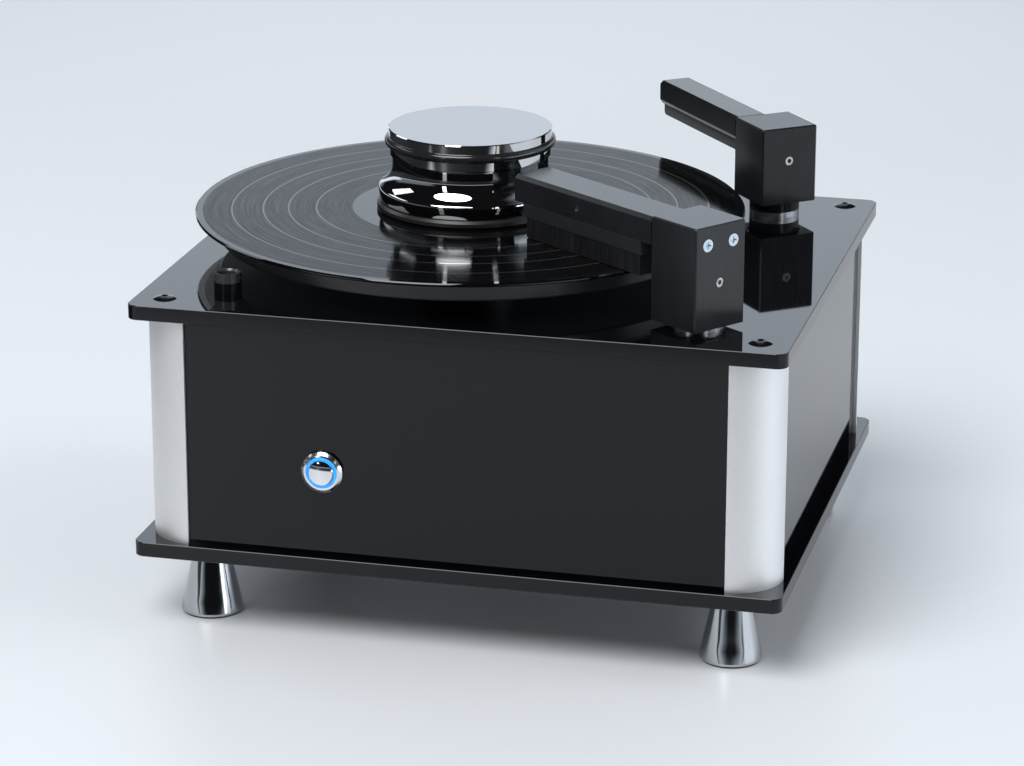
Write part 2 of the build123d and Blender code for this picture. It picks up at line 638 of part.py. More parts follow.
def platter_gear_motor():
    """A gear motor that hangs below its bracket, bored for its output shaft off the gearbox's centre."""
    bottom = GEARBOX_TOP - GEARBOX_HEIGHT
    body = rod(GEARBOX_RADIUS, GEARBOX_HEIGHT, y=GEARBOX_OFFSET, z=bottom)
    body += rod(MOTOR_RADIUS, MOTOR_HEIGHT, y=GEARBOX_OFFSET, z=bottom - MOTOR_HEIGHT)
    body -= rod(MOTOR_SHAFT_RADIUS + RUNNING_CLEARANCE, GEARBOX_TOP - OUTPUT_BOTTOM, z=OUTPUT_BOTTOM)
    return Pos(AXIS_X, AXIS_Y, 0) * body


def motor_bracket():
    """A plate on four legs that hangs the gear motor from the top plate."""
    z = GEARBOX_TOP
    side = BRACKET_LEG_SPAN + 2 * BRACKET_MARGIN
    body = brick(side, side, BRACKET_THICKNESS, z=z)
    body -= rod(MOTOR_SHAFT_RADIUS + BRACKET_HOLE_SPACE, BRACKET_THICKNESS, z=z)
    for sx, sy in CORNERS:
        body += rod(
            BRACKET_LEG_RADIUS, TOP_BOTTOM - z, sx * BRACKET_LEG_SPAN / 2, sy * BRACKET_LEG_SPAN / 2, z
        )
    return Pos(AXIS_X, AXIS_Y, 0) * body


# ---------------------------------------------------------------- record clamp
CLAMP_UNDERSIDE = RECORD_TOP + CLAMP_BASE_HEIGHT
CLAMP_BAND_LEVEL = RECORD_TOP + CLAMP_BAND_TOP
CLAMP_CAP_BOTTOM = CLAMP_BAND_LEVEL + 2 * O_RING_RADIUS
CLAMP_TOP = CLAMP_CAP_BOTTOM + CLAMP_CAP_HEIGHT
O_RING_CENTRE = O_RING_OUTER_RADIUS - O_RING_RADIUS


def clamp_body():
    """A turned weight: flat cap, groove for a ring, band, waist and a hollow flare to a round rim."""
    widest = RECORD_TOP + CLAMP_RIM_LEVEL
    rim = CLAMP_RIM_ROUNDING
    flare = CLAMP_FLARE_ROUNDING
    rim_centre = CLAMP_RIM_RADIUS - rim
    flare_centre = CLAMP_WAIST_RADIUS + flare
    # the angle from the level at which the hollow runs on into the rim
    turn = acos((flare_centre - rim_centre) / (flare + rim))
    waist_bottom = widest + (flare + rim) * sin(turn)
    lower = CLAMP_LOWER_ROUNDING
    lower_centre = CLAMP_RIM_RADIUS - lower
    drop = widest - CLAMP_UNDERSIDE
    foot = lower_centre + sqrt(lower**2 - drop**2)
    lower_middle = lower_centre + sqrt(lower**2 - (drop / 2) ** 2)
    groove = O_RING_CENTRE - O_RING_RADIUS - O_RING_CLEARANCE
    outline = Polyline((0, CLAMP_UNDERSIDE), (foot, CLAMP_UNDERSIDE))
    outline += ThreePointArc(
        (foot, CLAMP_UNDERSIDE), (lower_middle, widest - drop / 2), (CLAMP_RIM_RADIUS, widest)
    )
    meeting = (rim_centre + rim * cos(turn), widest + rim * sin(turn))
    outline += ThreePointArc(
        (CLAMP_RIM_RADIUS, widest),
        (rim_centre + rim * cos(turn / 2), widest + rim * sin(turn / 2)),
        meeting,
    )
    outline += ThreePointArc(
        meeting,
        (flare_centre - flare * cos(turn / 2), waist_bottom - flare * sin(turn / 2)),
        (CLAMP_WAIST_RADIUS, waist_bottom),
    )
    outline += Polyline(
        (CLAMP_WAIST_RADIUS, waist_bottom),
        (CLAMP_WAIST_RADIUS, RECORD_TOP + CLAMP_WAIST_TOP),
        (CLAMP_BAND_RADIUS, RECORD_TOP + CLAMP_BAND_BOTTOM),
        (CLAMP_BAND_RADIUS, CLAMP_BAND_LEVEL),
        (groove, CLAMP_BAND_LEVEL),
        (groove, CLAMP_CAP_BOTTOM),
        (CLAMP_CAP_RADIUS, CLAMP_CAP_BOTTOM),
        (CLAMP_CAP_RADIUS, CLAMP_TOP - CLAMP_CAP_CHAMFER),
        (CLAMP_CAP_RADIUS - CLAMP_CAP_CHAMFER, CLAMP_TOP),
        (0, CLAMP_TOP),
        (0, CLAMP_UNDERSIDE),
    )
    body = revolve(Plane.XZ * make_face(outline), Axis.Z)
    bore = SPINDLE_STAND_OUT + CLAMP_BORE_SPARE - CLAMP_BASE_HEIGHT
    body -= rod(SPINDLE_RADIUS + SPINDLE_FIT, bore, z=CLAMP_UNDERSIDE)
    return Pos(AXIS_X, AXIS_Y, 0) * body


def clamp_o_ring():
    level = CLAMP_BAND_LEVEL + O_RING_RADIUS
    return Pos(AXIS_X, AXIS_Y, level) * Torus(O_RING_CENTRE, O_RING_RADIUS - O_RING_SQUEEZE_GAP)


def clamp_base_ring():
    """The soft foot of the clamp: a rounded ring with a narrower seat on the metal."""
    round_off = CLAMP_RING_ROUNDING
    inner = SPINDLE_RADIUS + CLAMP_RING_BORE_SPACE
    radius = CLAMP_BASE_RADIUS
    seat = radius - CLAMP_GROOVE_DEPTH
    ring_top = RECORD_TOP + CLAMP_RING_HEIGHT
    body = turned(
        (inner, RECORD_TOP),
        (radius - round_off, RECORD_TOP),
        (radius, RECORD_TOP + round_off),
        (radius, ring_top - round_off),
        (radius - round_off, ring_top),
        (seat, ring_top),
        (seat, CLAMP_UNDERSIDE),
        (inner, CLAMP_UNDERSIDE),
    )
    return Pos(AXIS_X, AXIS_Y, 0) * body


# ---------------------------------------------------------------- arms
# Each arm is made along +X from its column axis, then turned and moved to its place.
BRUSH_PLACE = Pos(BRUSH_X, BRUSH_Y, 0) * Rot(0, 0, BRUSH_ANGLE)
SUCTION_PLACE = Pos(SUCTION_X, SUCTION_Y, 0) * Rot(0, 0, SUCTION_ANGLE)
HALF_BLOCK = ARM_BLOCK_SIDE / 2
COLUMN_TOP = TOP + COLUMN_TOP_HEIGHT
STEM_BOTTOM = TOP_BOTTOM - STEM_DROP
GUIDE_BOTTOM = TOP_BOTTOM - GUIDE_DROP
CHAMBER_FLOOR = GUIDE_BOTTOM + GUIDE_FLOOR
PORT_LEVEL = CHAMBER_FLOOR + GUIDE_PORT_HEIGHT
BRUSH_BLOCK_BOTTOM = TOP + BRUSH_BLOCK_LIFT
BRUSH_BLOCK_TOP = BRUSH_BLOCK_BOTTOM + BRUSH_BLOCK_HEIGHT
BRUSH_BAR_TOP = BRUSH_BLOCK_TOP - BRUSH_BAR_DROP
BRUSH_BAR_BOTTOM = BRUSH_BAR_TOP - BRUSH_BAR_HEIGHT
SUCTION_BLOCK_BOTTOM = TOP + SUCTION_BLOCK_LIFT
SUCTION_BLOCK_TOP = SUCTION_BLOCK_BOTTOM + SUCTION_BLOCK_HEIGHT
SUCTION_BAR_BOTTOM = SUCTION_BLOCK_TOP - SUCTION_BAR_HEIGHT
BAR_SCREW_LEVEL = BRUSH_BLOCK_TOP - BAR_SCREW_DEPTH
BAR_SCREW_OFFSETS = [side * BAR_SCREW_SPACING / 2 for side in (-1, 1)]


def arm_block(bottom, height, counterbore_depth, shaft_top, grub_level):
    """A square block with a counterbore for the column, a bore for the shaft and a tapped side hole."""
    body = brick(ARM_BLOCK_SIDE, ARM_BLOCK_SIDE, height, z=bottom)
    uprights = body.edges().filter_by(Axis.Z)
    body = chamfer(uprights, ARM_BLOCK_CHAMFER)
    body = chamfer(body.faces().sort_by(Axis.Z)[-1].edges(), ARM_BLOCK_CHAMFER)
    body -= rod(COLUMN_RADIUS + COUNTERBORE_CLEARANCE, counterbore_depth, z=bottom)
    body -= rod(ARM_SHAFT_RADIUS + THREAD_CLEARANCE, shaft_top - bottom, z=bottom)
    body -= lying(GRUB_RADIUS + THREAD_CLEARANCE, HALF_BLOCK, -HALF_BLOCK, 0, grub_level, 0)
    return body


def grub_screw(radius, length):
    """A headless socket screw along +X from x = 0, socket at the start."""
    body = lying(radius, length, 0, 0, 0, 0)
    socket = Rot(0, 90, 0) * hexagon(GRUB_SOCKET_FLATS * radius / GRUB_RADIUS, GRUB_SOCKET_DEPTH)
    return body - socket


def shaft_grub(level):
    length = HALF_BLOCK - GRUB_RECESS - ARM_SHAFT_RADIUS - THREAD_CLEARANCE
    return Pos(-HALF_BLOCK + GRUB_RECESS, 0, level) * grub_screw(GRUB_RADIUS, length)


def arm_shaft(top, bore, collar_top):
    """A hollow shaft with a collar at its foot that stops it in the column."""
    bottom = collar_top - ARM_SHAFT_COLLAR_HEIGHT
    body = rod(ARM_SHAFT_RADIUS, top - bottom, z=bottom)
    body += rod(ARM_SHAFT_COLLAR_RADIUS, ARM_SHAFT_COLLAR_HEIGHT, z=bottom)
    return body - rod(bore, top - bottom - ARM_SHAFT_CROWN, z=bottom)


def arm_column():
    """The turning column: a sleeve on the plate's ring with a stem down through the guide."""
    bottom = TOP + ARM_RING_HEIGHT + COLUMN_GAP
    body = rod(COLUMN_RADIUS, COLUMN_TOP - bottom, z=bottom)
    body += rod(STEM_RADIUS, bottom - STEM_BOTTOM, z=STEM_BOTTOM)
    return body - rod(ARM_SHAFT_RADIUS + RUNNING_CLEARANCE, COLUMN_TOP - STEM_BOTTOM, z=STEM_BOTTOM)


def arm_ring(x, y):
    return tube(ARM_RING_RADIUS, STEM_RADIUS + ARM_RING_CLEARANCE, ARM_RING_HEIGHT, x, y, TOP)


def arm_guide(x, y, port_turn):
    """The flanged guide below the top plate, closed at the bottom, with a hose port in its side."""
    body = rod(GUIDE_SPIGOT_RADIUS, TOP - GUIDE_BOTTOM, z=GUIDE_BOTTOM)
    body += rod(GUIDE_RADIUS, GUIDE_DROP, z=GUIDE_BOTTOM)
    body += rod(GUIDE_FLANGE_RADIUS, GUIDE_FLANGE_HEIGHT, z=TOP_BOTTOM - GUIDE_FLANGE_HEIGHT)
    reach = GUIDE_RADIUS + GUIDE_PORT_LENGTH
    body += lying(GUIDE_PORT_RADIUS, reach, 0, 0, PORT_LEVEL, port_turn)
    body -= lying(GUIDE_PORT_BORE, reach, 0, 0, PORT_LEVEL, port_turn)
    body -= rod(STEM_RADIUS + RUNNING_CLEARANCE, TOP - CHAMBER_FLOOR, z=CHAMBER_FLOOR)
    return Pos(x, y, 0) * body


# ---------------------------------------------------------------- brush arm
def brush_arm_block():
    body = arm_block(
        BRUSH_BLOCK_BOTTOM, BRUSH_BLOCK_HEIGHT, BRUSH_COUNTERBORE_DEPTH,
        TOP + BRUSH_SHAFT_TOP, TOP + BRUSH_GRUB_HEIGHT,
    )
    for y in BAR_SCREW_OFFSETS:
        body -= lying(
            BAR_SCREW_RADIUS + THREAD_CLEARANCE, ARM_BLOCK_SIDE, -HALF_BLOCK, y, BAR_SCREW_LEVEL, 0
        )
        body -= Pos(-HALF_BLOCK, y, BAR_SCREW_LEVEL) * Rot(0, 90, 0) * Cone(
            BAR_SCREW_HEAD_RADIUS + THREAD_CLEARANCE, BAR_SCREW_RADIUS + THREAD_CLEARANCE,
            BAR_SCREW_HEAD_HEIGHT, align=ON_FLOOR,
        )
    return BRUSH_PLACE * body


def brush_arm_bar():
    """A long bar, flush with the block's near side, with a broad bevel along its far side."""
    near = HALF_BLOCK
    far_flat = near - BRUSH_BAR_CHAMFER - BRUSH_BAR_FLAT
    bevel = far_flat + HALF_BLOCK
    length = BRUSH_BAR_REACH - HALF_BLOCK
    body = prism(
        [
            (near, BRUSH_BAR_BOTTOM),
            (near, BRUSH_BAR_TOP - BRUSH_BAR_CHAMFER),
            (near - BRUSH_BAR_CHAMFER, BRUSH_BAR_TOP),
            (far_flat, BRUSH_BAR_TOP),
            (-near, BRUSH_BAR_TOP - bevel),
            (-near, BRUSH_BAR_BOTTOM),
        ],
        length,
    )
    body = Pos(HALF_BLOCK, 0, 0) * body
    drill = BAR_SCREW_LENGTH - ARM_BLOCK_SIDE + BAR_SCREW_END_GAP
    for y in BAR_SCREW_OFFSETS:
        body -= lying(BAR_SCREW_RADIUS + THREAD_CLEARANCE, drill, HALF_BLOCK, y, BAR_SCREW_LEVEL, 0)
    grub_level = BRUSH_BAR_BOTTOM + BAR_GRUB_HEIGHT
    body -= lying(BAR_GRUB_RADIUS + THREAD_CLEARANCE, BAR_GRUB_LENGTH + GRUB_RECESS,
                  BAR_GRUB_REACH, near, grub_level, -90)
    channel_length = HOLDER_END - HALF_BLOCK
    channel_level = BRUSH_BAR_BOTTOM + BRUSH_CHANNEL_HEIGHT
    body -= lying(BRUSH_CHANNEL_RADIUS, channel_length, HALF_BLOCK, 0, channel_level, 0)
    return BRUSH_PLACE * body


def brush_holder():
    """The strip under the bar that grips the bristles, a little proud of the bar's near side."""
    length = HOLDER_END - HOLDER_START
    near = HALF_BLOCK + HOLDER_PROUD
    bottom = BRUSH_BAR_BOTTOM - HOLDER_HEIGHT
    body = prism(
        [
            (near - HOLDER_SLOPE, bottom),
            (near, BRUSH_BAR_BOTTOM),
            (near - HOLDER_WIDTH, BRUSH_BAR_BOTTOM),
            (near - HOLDER_WIDTH, bottom),
        ],
        length,
    )
    return BRUSH_PLACE * (Pos(HOLDER_START, 0, 0) * body)


def brush_bristles():
    length = HOLDER_END - HOLDER_START - 2 * BRISTLE_END_INSET
    top = BRUSH_BAR_BOTTOM - HOLDER_HEIGHT
    bottom = RECORD_TOP + BRISTLE_GAP
    middle = HALF_BLOCK + HOLDER_PROUD - BRISTLE_INSET - BRISTLE_WIDTH / 2
    x = (HOLDER_START + HOLDER_END) / 2
    return BRUSH_PLACE * brick(length, BRISTLE_WIDTH, top - bottom, x, middle, bottom)


def countersunk_screw():
    """A cross-head countersunk screw along +X from x = 0, head at the start."""
    head = Rot(0, 90, 0) * Cone(
        BAR_SCREW_HEAD_RADIUS, BAR_SCREW_RADIUS, BAR_SCREW_HEAD_HEIGHT, align=ON_FLOOR
    )
    body = head + lying(BAR_SCREW_RADIUS, BAR_SCREW_LENGTH, 0, 0, 0, 0)
    body -= Box(2 * CROSS_SLOT_DEPTH, CROSS_SLOT_WIDTH, CROSS_SLOT_LENGTH)
    return body - Box(2 * CROSS_SLOT_DEPTH, CROSS_SLOT_LENGTH, CROSS_SLOT_WIDTH)


def brush_arm_screws():
    """The two screws that hold the bar, the grub screw on the shaft and the one in the bar's side."""
    pieces = [
        Pos(-HALF_BLOCK, y, BAR_SCREW_LEVEL) * countersunk_screw() for y in BAR_SCREW_OFFSETS
    ]
    pieces.append(shaft_grub(TOP + BRUSH_GRUB_HEIGHT))
    side_place = Pos(BAR_GRUB_REACH, HALF_BLOCK - GRUB_RECESS, BRUSH_BAR_BOTTOM + BAR_GRUB_HEIGHT)
    pieces.append(side_place * Rot(0, 0, -90) * grub_screw(BAR_GRUB_RADIUS, BAR_GRUB_LENGTH))
    return group(BRUSH_PLACE * piece for piece in pieces)


def brush_arm_shaft():
    collar_top = STEM_BOTTOM - ARM_STOP_GAP - BRUSH_TRAVEL
    return BRUSH_PLACE * arm_shaft(TOP + BRUSH_SHAFT_TOP, BRUSH_SHAFT_BORE, collar_top)


# ---------------------------------------------------------------- suction arm
SUCTION_NEAR = HALF_BLOCK
SUCTION_FAR = SUCTION_NEAR - SUCTION_BAR_WIDTH
SUCTION_MIDDLE = (SUCTION_NEAR + SUCTION_FAR) / 2
POCKET_BOTTOM = COLUMN_TOP - SPRING_POCKET_DEPTH


def suction_arm_block():
    return SUCTION_PLACE * arm_block(
        SUCTION_BLOCK_BOTTOM, SUCTION_BLOCK_HEIGHT, SUCTION_COUNTERBORE_DEPTH,
        TOP + SUCTION_SHAFT_TOP, TOP + SUCTION_GRUB_HEIGHT,
    )


def suction_arm_bar():
    """A hollow bar with its top edges and tip chamfered, its lower edges undercut and a slot below."""
    cut = SUCTION_BAR_CHAMFER
    under = SUCTION_BAR_UNDERCUT
    length = SUCTION_BAR_REACH - HALF_BLOCK
    body = prism(
        [
            (SUCTION_NEAR - under * SUCTION_UNDERCUT_SHARE, SUCTION_BAR_BOTTOM),
            (SUCTION_NEAR, SUCTION_BAR_BOTTOM + under),
            (SUCTION_NEAR, SUCTION_BLOCK_TOP - cut),
            (SUCTION_NEAR - cut, SUCTION_BLOCK_TOP),
            (SUCTION_FAR + cut, SUCTION_BLOCK_TOP),
            (SUCTION_FAR, SUCTION_BLOCK_TOP - cut),
            (SUCTION_FAR, SUCTION_BAR_BOTTOM + under),
            (SUCTION_FAR + under * SUCTION_UNDERCUT_SHARE, SUCTION_BAR_BOTTOM),
        ],
        length,
    )
    slot_length = length - 2 * SUCTION_SLOT_INSET
    body -= brick(
        slot_length, SUCTION_SLOT_WIDTH, SUCTION_BAR_HEIGHT - SUCTION_BAR_CROWN,
        length / 2, SUCTION_MIDDLE, SUCTION_BAR_BOTTOM,
    )
    duct_level = SUCTION_BAR_BOTTOM + SUCTION_BAR_HEIGHT / 2
    body -= lying(SUCTION_SLOT_WIDTH / 2, length / 2, 0, SUCTION_MIDDLE, duct_level, 0)
    return SUCTION_PLACE * (Pos(HALF_BLOCK, 0, 0) * body)


def suction_lips():
    """Two velvet strips, one each side of the slot, rounded at the tip."""
    bottom = RECORD_TOP + LIP_GAP + SUCTION_TRAVEL
    height = SUCTION_BAR_BOTTOM - bottom
    start = HALF_BLOCK + LIP_END_INSET
    end = SUCTION_BAR_REACH - LIP_END_INSET
    strips = []
    for side in (-1, 1):
        y = SUCTION_MIDDLE + side * (SUCTION_SLOT_WIDTH / 2 + LIP_SLOT_GAP + LIP_WIDTH / 2)
        strip = brick(end - start, LIP_WIDTH, height, (start + end) / 2, y, bottom)
        lower_tip = strip.edges().filter_by(Axis.Y).sort_by(Axis.Z)[:2].sort_by(Axis.X)[-1]
        strips.append(SUCTION_PLACE * fillet(lower_tip, LIP_END_RADIUS))
    return group(strips)


def suction_arm_shaft():
    return SUCTION_PLACE * arm_shaft(
        TOP + SUCTION_SHAFT_TOP, SUCTION_SHAFT_BORE, STEM_BOTTOM - ARM_STOP_GAP
    )


def suction_arm_column():
    body = arm_column() - rod(SPRING_POCKET_RADIUS, SPRING_POCKET_DEPTH, z=POCKET_BOTTOM)
    return SUCTION_PLACE * body


def suction_lift_spring():
    """A compression spring round the shaft, between the column's pocket and the block."""
    low = POCKET_BOTTOM + SPRING_END_GAP + SPRING_WIRE_RADIUS
    high = SUCTION_BLOCK_BOTTOM + SUCTION_COUNTERBORE_DEPTH - SPRING_END_GAP - SPRING_WIRE_RADIUS
    path = Helix((high - low) / SPRING_TURNS, high - low, SPRING_RADIUS)
    section = Plane(origin=path @ 0, z_dir=path % 0) * Circle(SPRING_WIRE_RADIUS)
    return SUCTION_PLACE * (Pos(0, 0, low) * sweep(section, path, is_frenet=True))


# ---------------------------------------------------------------- filler
def filler_neck():
    """The open filler post: a tube through the top plate into the clean tank, flared at its mouth."""
    top = TOP + FILLER_HEIGHT
    bottom = TANK_BOTTOM + CLEAN_TANK[2] - TANK_WALL
    body = rod(FILLER_RADIUS, FILLER_HEIGHT, z=TOP)
    body += rod(FILLER_SPIGOT_RADIUS, top - bottom, z=bottom)
    body -= rod(FILLER_BORE, top - bottom, z=bottom)
    mouth = FILLER_LIP_CHAMFER
    body -= Pos(0, 0, top - mouth) * Cone(FILLER_BORE, FILLER_BORE + mouth, mouth, align=ON_FLOOR)
    return Pos(FILLER_X, FILLER_Y, 0) * body


# ---------------------------------------------------------------- start button
BUTTON_FACE = PANEL_Y + BEZEL_DEPTH
BUTTON_PLACE = Pos(BUTTON_X, 0, BUTTON_HEIGHT) * Rot(90, 0, 0)


def button_ring(outer, inner, back, front):
    """A ring round the button's axis, from back to front, both measured forwards of the centre."""
    return tube(outer, inner, front - back, z=back)


def start_button_bezel():
    """The bright threaded body with its bevelled bezel and the nut that holds it in the panel."""
    back = PANEL_Y - PANEL_THICKNESS - BUTTON_BODY_LENGTH
    body = turned(
        (0, back),
        (BUTTON_BODY_RADIUS, back),
        (BUTTON_BODY_RADIUS, PANEL_Y),
        (BEZEL_RADIUS, PANEL_Y),
        (BEZEL_RADIUS, BUTTON_FACE - BEZEL_CHAMFER / 2),
        (BEZEL_RADIUS - BEZEL_CHAMFER, BUTTON_FACE),
        (0, BUTTON_FACE),
    )
    body -= rod(LIGHT_RING_RADIUS + BUTTON_CLEARANCE, LIGHT_RING_DEPTH, z=BUTTON_FACE - LIGHT_RING_DEPTH)
    well = BUTTON_CAP_LENGTH + BUTTON_TRAVEL + BUTTON_WELL_SPARE
    body -= rod(BUTTON_CAP_RADIUS + BUTTON_CLEARANCE, well, z=BUTTON_FACE + BUTTON_CAP_PROUD - well)
    nut_front = PANEL_Y - PANEL_THICKNESS
    nut = button_ring(
        BUTTON_NUT_RADIUS, BUTTON_BODY_RADIUS + THREAD_CLEARANCE, nut_front - BUTTON_NUT_HEIGHT, nut_front
    )
    return group([BUTTON_PLACE * body, BUTTON_PLACE * nut])


def start_button_light():
    return BUTTON_PLACE * button_ring(
        LIGHT_RING_RADIUS, BUTTON_CAP_RADIUS + BUTTON_CLEARANCE,
        BUTTON_FACE - LIGHT_RING_DEPTH, BUTTON_FACE - LIGHT_RING_RECESS,
    )


def start_button_cap():
    front = BUTTON_FACE + BUTTON_CAP_PROUD
    back = front - BUTTON_CAP_LENGTH
    cap = rod(BUTTON_CAP_RADIUS, BUTTON_CAP_LENGTH, z=back)
    cap = chamfer(cap.edges().sort_by(Axis.Z)[-1], BUTTON_CAP_CHAMFER)
    return BUTTON_PLACE * cap


# ---------------------------------------------------------------- power inlet and switch
def power_inlet():
    """A three-pin appliance inlet, open to the rear."""
    body = Pos(0, PANEL_Y + INLET_FLANGE_DEPTH / 2, 0) * Box(
        INLET_FLANGE_WIDTH, INLET_FLANGE_DEPTH, INLET_FLANGE_HEIGHT
    )
    body += Pos(0, PANEL_Y - INLET_BODY_DEPTH / 2, 0) * Box(
        INLET_BODY_WIDTH, INLET_BODY_DEPTH, INLET_BODY_HEIGHT
    )
    mouth = PANEL_Y + INLET_FLANGE_DEPTH
    body -= Pos(0, mouth - INLET_SOCKET_DEPTH / 2, 0) * Box(
        INLET_SOCKET_WIDTH, INLET_SOCKET_DEPTH, INLET_SOCKET_HEIGHT
    )
    return Pos(INLET_X, 0, INLET_HEIGHT) * body


def power_inlet_pins():
    root = PANEL_Y + INLET_FLANGE_DEPTH - INLET_SOCKET_DEPTH
    places = [(-PIN_SPACING, PIN_RAISE), (0, -PIN_RAISE), (PIN_SPACING, PIN_RAISE)]
    return group(
        Pos(INLET_X + x, root + PIN_LENGTH / 2, INLET_HEIGHT + z) * Box(PIN_WIDTH, PIN_LENGTH, PIN_HEIGHT)
        for x, z in places
    )


SWITCH_FACE = PANEL_Y + SWITCH_FLANGE_DEPTH
ROCKER_PIVOT_Y = SWITCH_FACE - ROCKER_PIVOT_DEPTH


def rocker_pin(radius):
    """The rocker's pivot line, from wall to wall of the frame."""
    length = SWITCH_BODY_WIDTH - SWITCH_WALL
    return lying(radius, length, -length / 2, ROCKER_PIVOT_Y, 0, 0)


def power_switch_frame():
    body = Pos(0, PANEL_Y + SWITCH_FLANGE_DEPTH / 2, 0) * Box(
        SWITCH_FLANGE_WIDTH, SWITCH_FLANGE_DEPTH, SWITCH_FLANGE_HEIGHT
    )
    body += Pos(0, PANEL_Y - SWITCH_BODY_DEPTH / 2, 0) * Box(
        SWITCH_BODY_WIDTH, SWITCH_BODY_DEPTH, SWITCH_BODY_HEIGHT
    )
    well_depth = ROCKER_PIVOT_DEPTH + ROCKER_DEPTH + ROCKER_WELL_SPARE
    body -= Pos(0, SWITCH_FACE - well_depth / 2, 0) * Box(
        SWITCH_BODY_WIDTH - 2 * SWITCH_WALL, well_depth, SWITCH_BODY_HEIGHT - 2 * SWITCH_WALL
    )
    body -= rocker_pin(ROCKER_PIN_RADIUS + RUNNING_CLEARANCE)
    return Pos(SWITCH_X, 0, INLET_HEIGHT) * body


def power_switch_rocker():
    """A rocker with a hollow face of two slopes, tipped to off, on two short pins."""
    half = ROCKER_HEIGHT / 2
    front = ROCKER_PIVOT_DEPTH + ROCKER_PROUD
    ends = front + half * tan(radians(ROCKER_ANGLE))
    back = half * ROCKER_BACK_SHARE
    section = prism(
        [(front, 0), (ends, half), (-ROCKER_DEPTH, back), (-ROCKER_DEPTH, -back), (ends, -half)],
        ROCKER_WIDTH,
    )
    body = Rot(-ROCKER_ANGLE, 0, 0) * Pos(-ROCKER_WIDTH / 2, 0, 0) * section
    body = Pos(0, ROCKER_PIVOT_Y, 0) * body + rocker_pin(ROCKER_PIN_RADIUS)
    return Pos(SWITCH_X, 0, INLET_HEIGHT) * body


# ---------------------------------------------------------------- tanks, pump, turbine
def tank(size, x, y):
    width, depth, height = size
    return brick(width, depth, height, x, y, TANK_BOTTOM) - brick(
        width - 2 * TANK_WALL, depth - 2 * TANK_WALL, height - 2 * TANK_WALL, x, y, TANK_BOTTOM + TANK_WALL
    )


def clean_fluid_tank():
    top = TANK_BOTTOM + CLEAN_TANK[2]
    body = tank(CLEAN_TANK, CLEAN_TANK_X, CLEAN_TANK_Y)
    return body - rod(FILLER_SPIGOT_RADIUS + THREAD_CLEARANCE, TANK_WALL, FILLER_X, FILLER_Y, top - TANK_WALL)


def waste_fluid_tank():
    return tank(WASTE_TANK, WASTE_TANK_X, WASTE_TANK_Y)


def tank_rails():
    """Cross bars that carry the two tanks clear of the foot nuts."""
    rails = []
    for size, x, y in ((CLEAN_TANK, CLEAN_TANK_X, CLEAN_TANK_Y), (WASTE_TANK, WASTE_TANK_X, WASTE_TANK_Y)):
        for side in (-1, 1):
            rails.append(brick(size[0], RAIL_WIDTH, TANK_RAIL_HEIGHT, x, y + side * size[1] / 4, BASE_TOP))
    return group(rails)


def fluid_pump():
    width, depth, height = PUMP_SIZE
    body = brick(width, depth, height, PUMP_X, PUMP_Y, BASE_TOP)
    middle = BASE_TOP + height / 2
    body += lying(PUMP_HEAD_RADIUS, PUMP_HEAD_LENGTH, PUMP_X + width / 2, PUMP_Y, middle, 0)
    return body + rod(
        GUIDE_PORT_RADIUS, PUMP_OUTLET_HEIGHT, PUMP_X + width / 4, PUMP_Y, BASE_TOP + height
    )


def vacuum_turbine():
    """The suction blower on the base plate, with its motor on top and an inlet stub to the tank."""
    body = rod(TURBINE_RADIUS, TURBINE_HEIGHT, z=BASE_TOP)
    body += rod(TURBINE_CAP_RADIUS, TURBINE_CAP_HEIGHT, z=BASE_TOP + TURBINE_HEIGHT)
    reach = TURBINE_RADIUS + TURBINE_PORT_LENGTH
    body += lying(GUIDE_PORT_RADIUS, reach, 0, 0, BASE_TOP + TURBINE_PORT_HEIGHT, 0)
    return Pos(TURBINE_X, TURBINE_Y, 0) * body


def hose(points):
    """A hose of the guide port's size along straight runs joined by arcs."""
    path = Polyline(*points)
    if len(points) > 2:
        runs = [(Vector(*b) - Vector(*a)) for a, b in zip(points, points[1:])]
        radii = []
        for before, after in zip(runs, runs[1:]):
            half_turn = radians(before.get_angle(after) / 2)
            radii.append(HOSE_BEND_SHARE * min(before.length, after.length) / tan(half_turn))
        path = FilletPolyline(*points, radius=radii)
    start = Plane(origin=path @ 0, z_dir=path % 0)
    return sweep(start * Circle(GUIDE_PORT_RADIUS), path) - sweep(start * Circle(GUIDE_PORT_BORE), path)


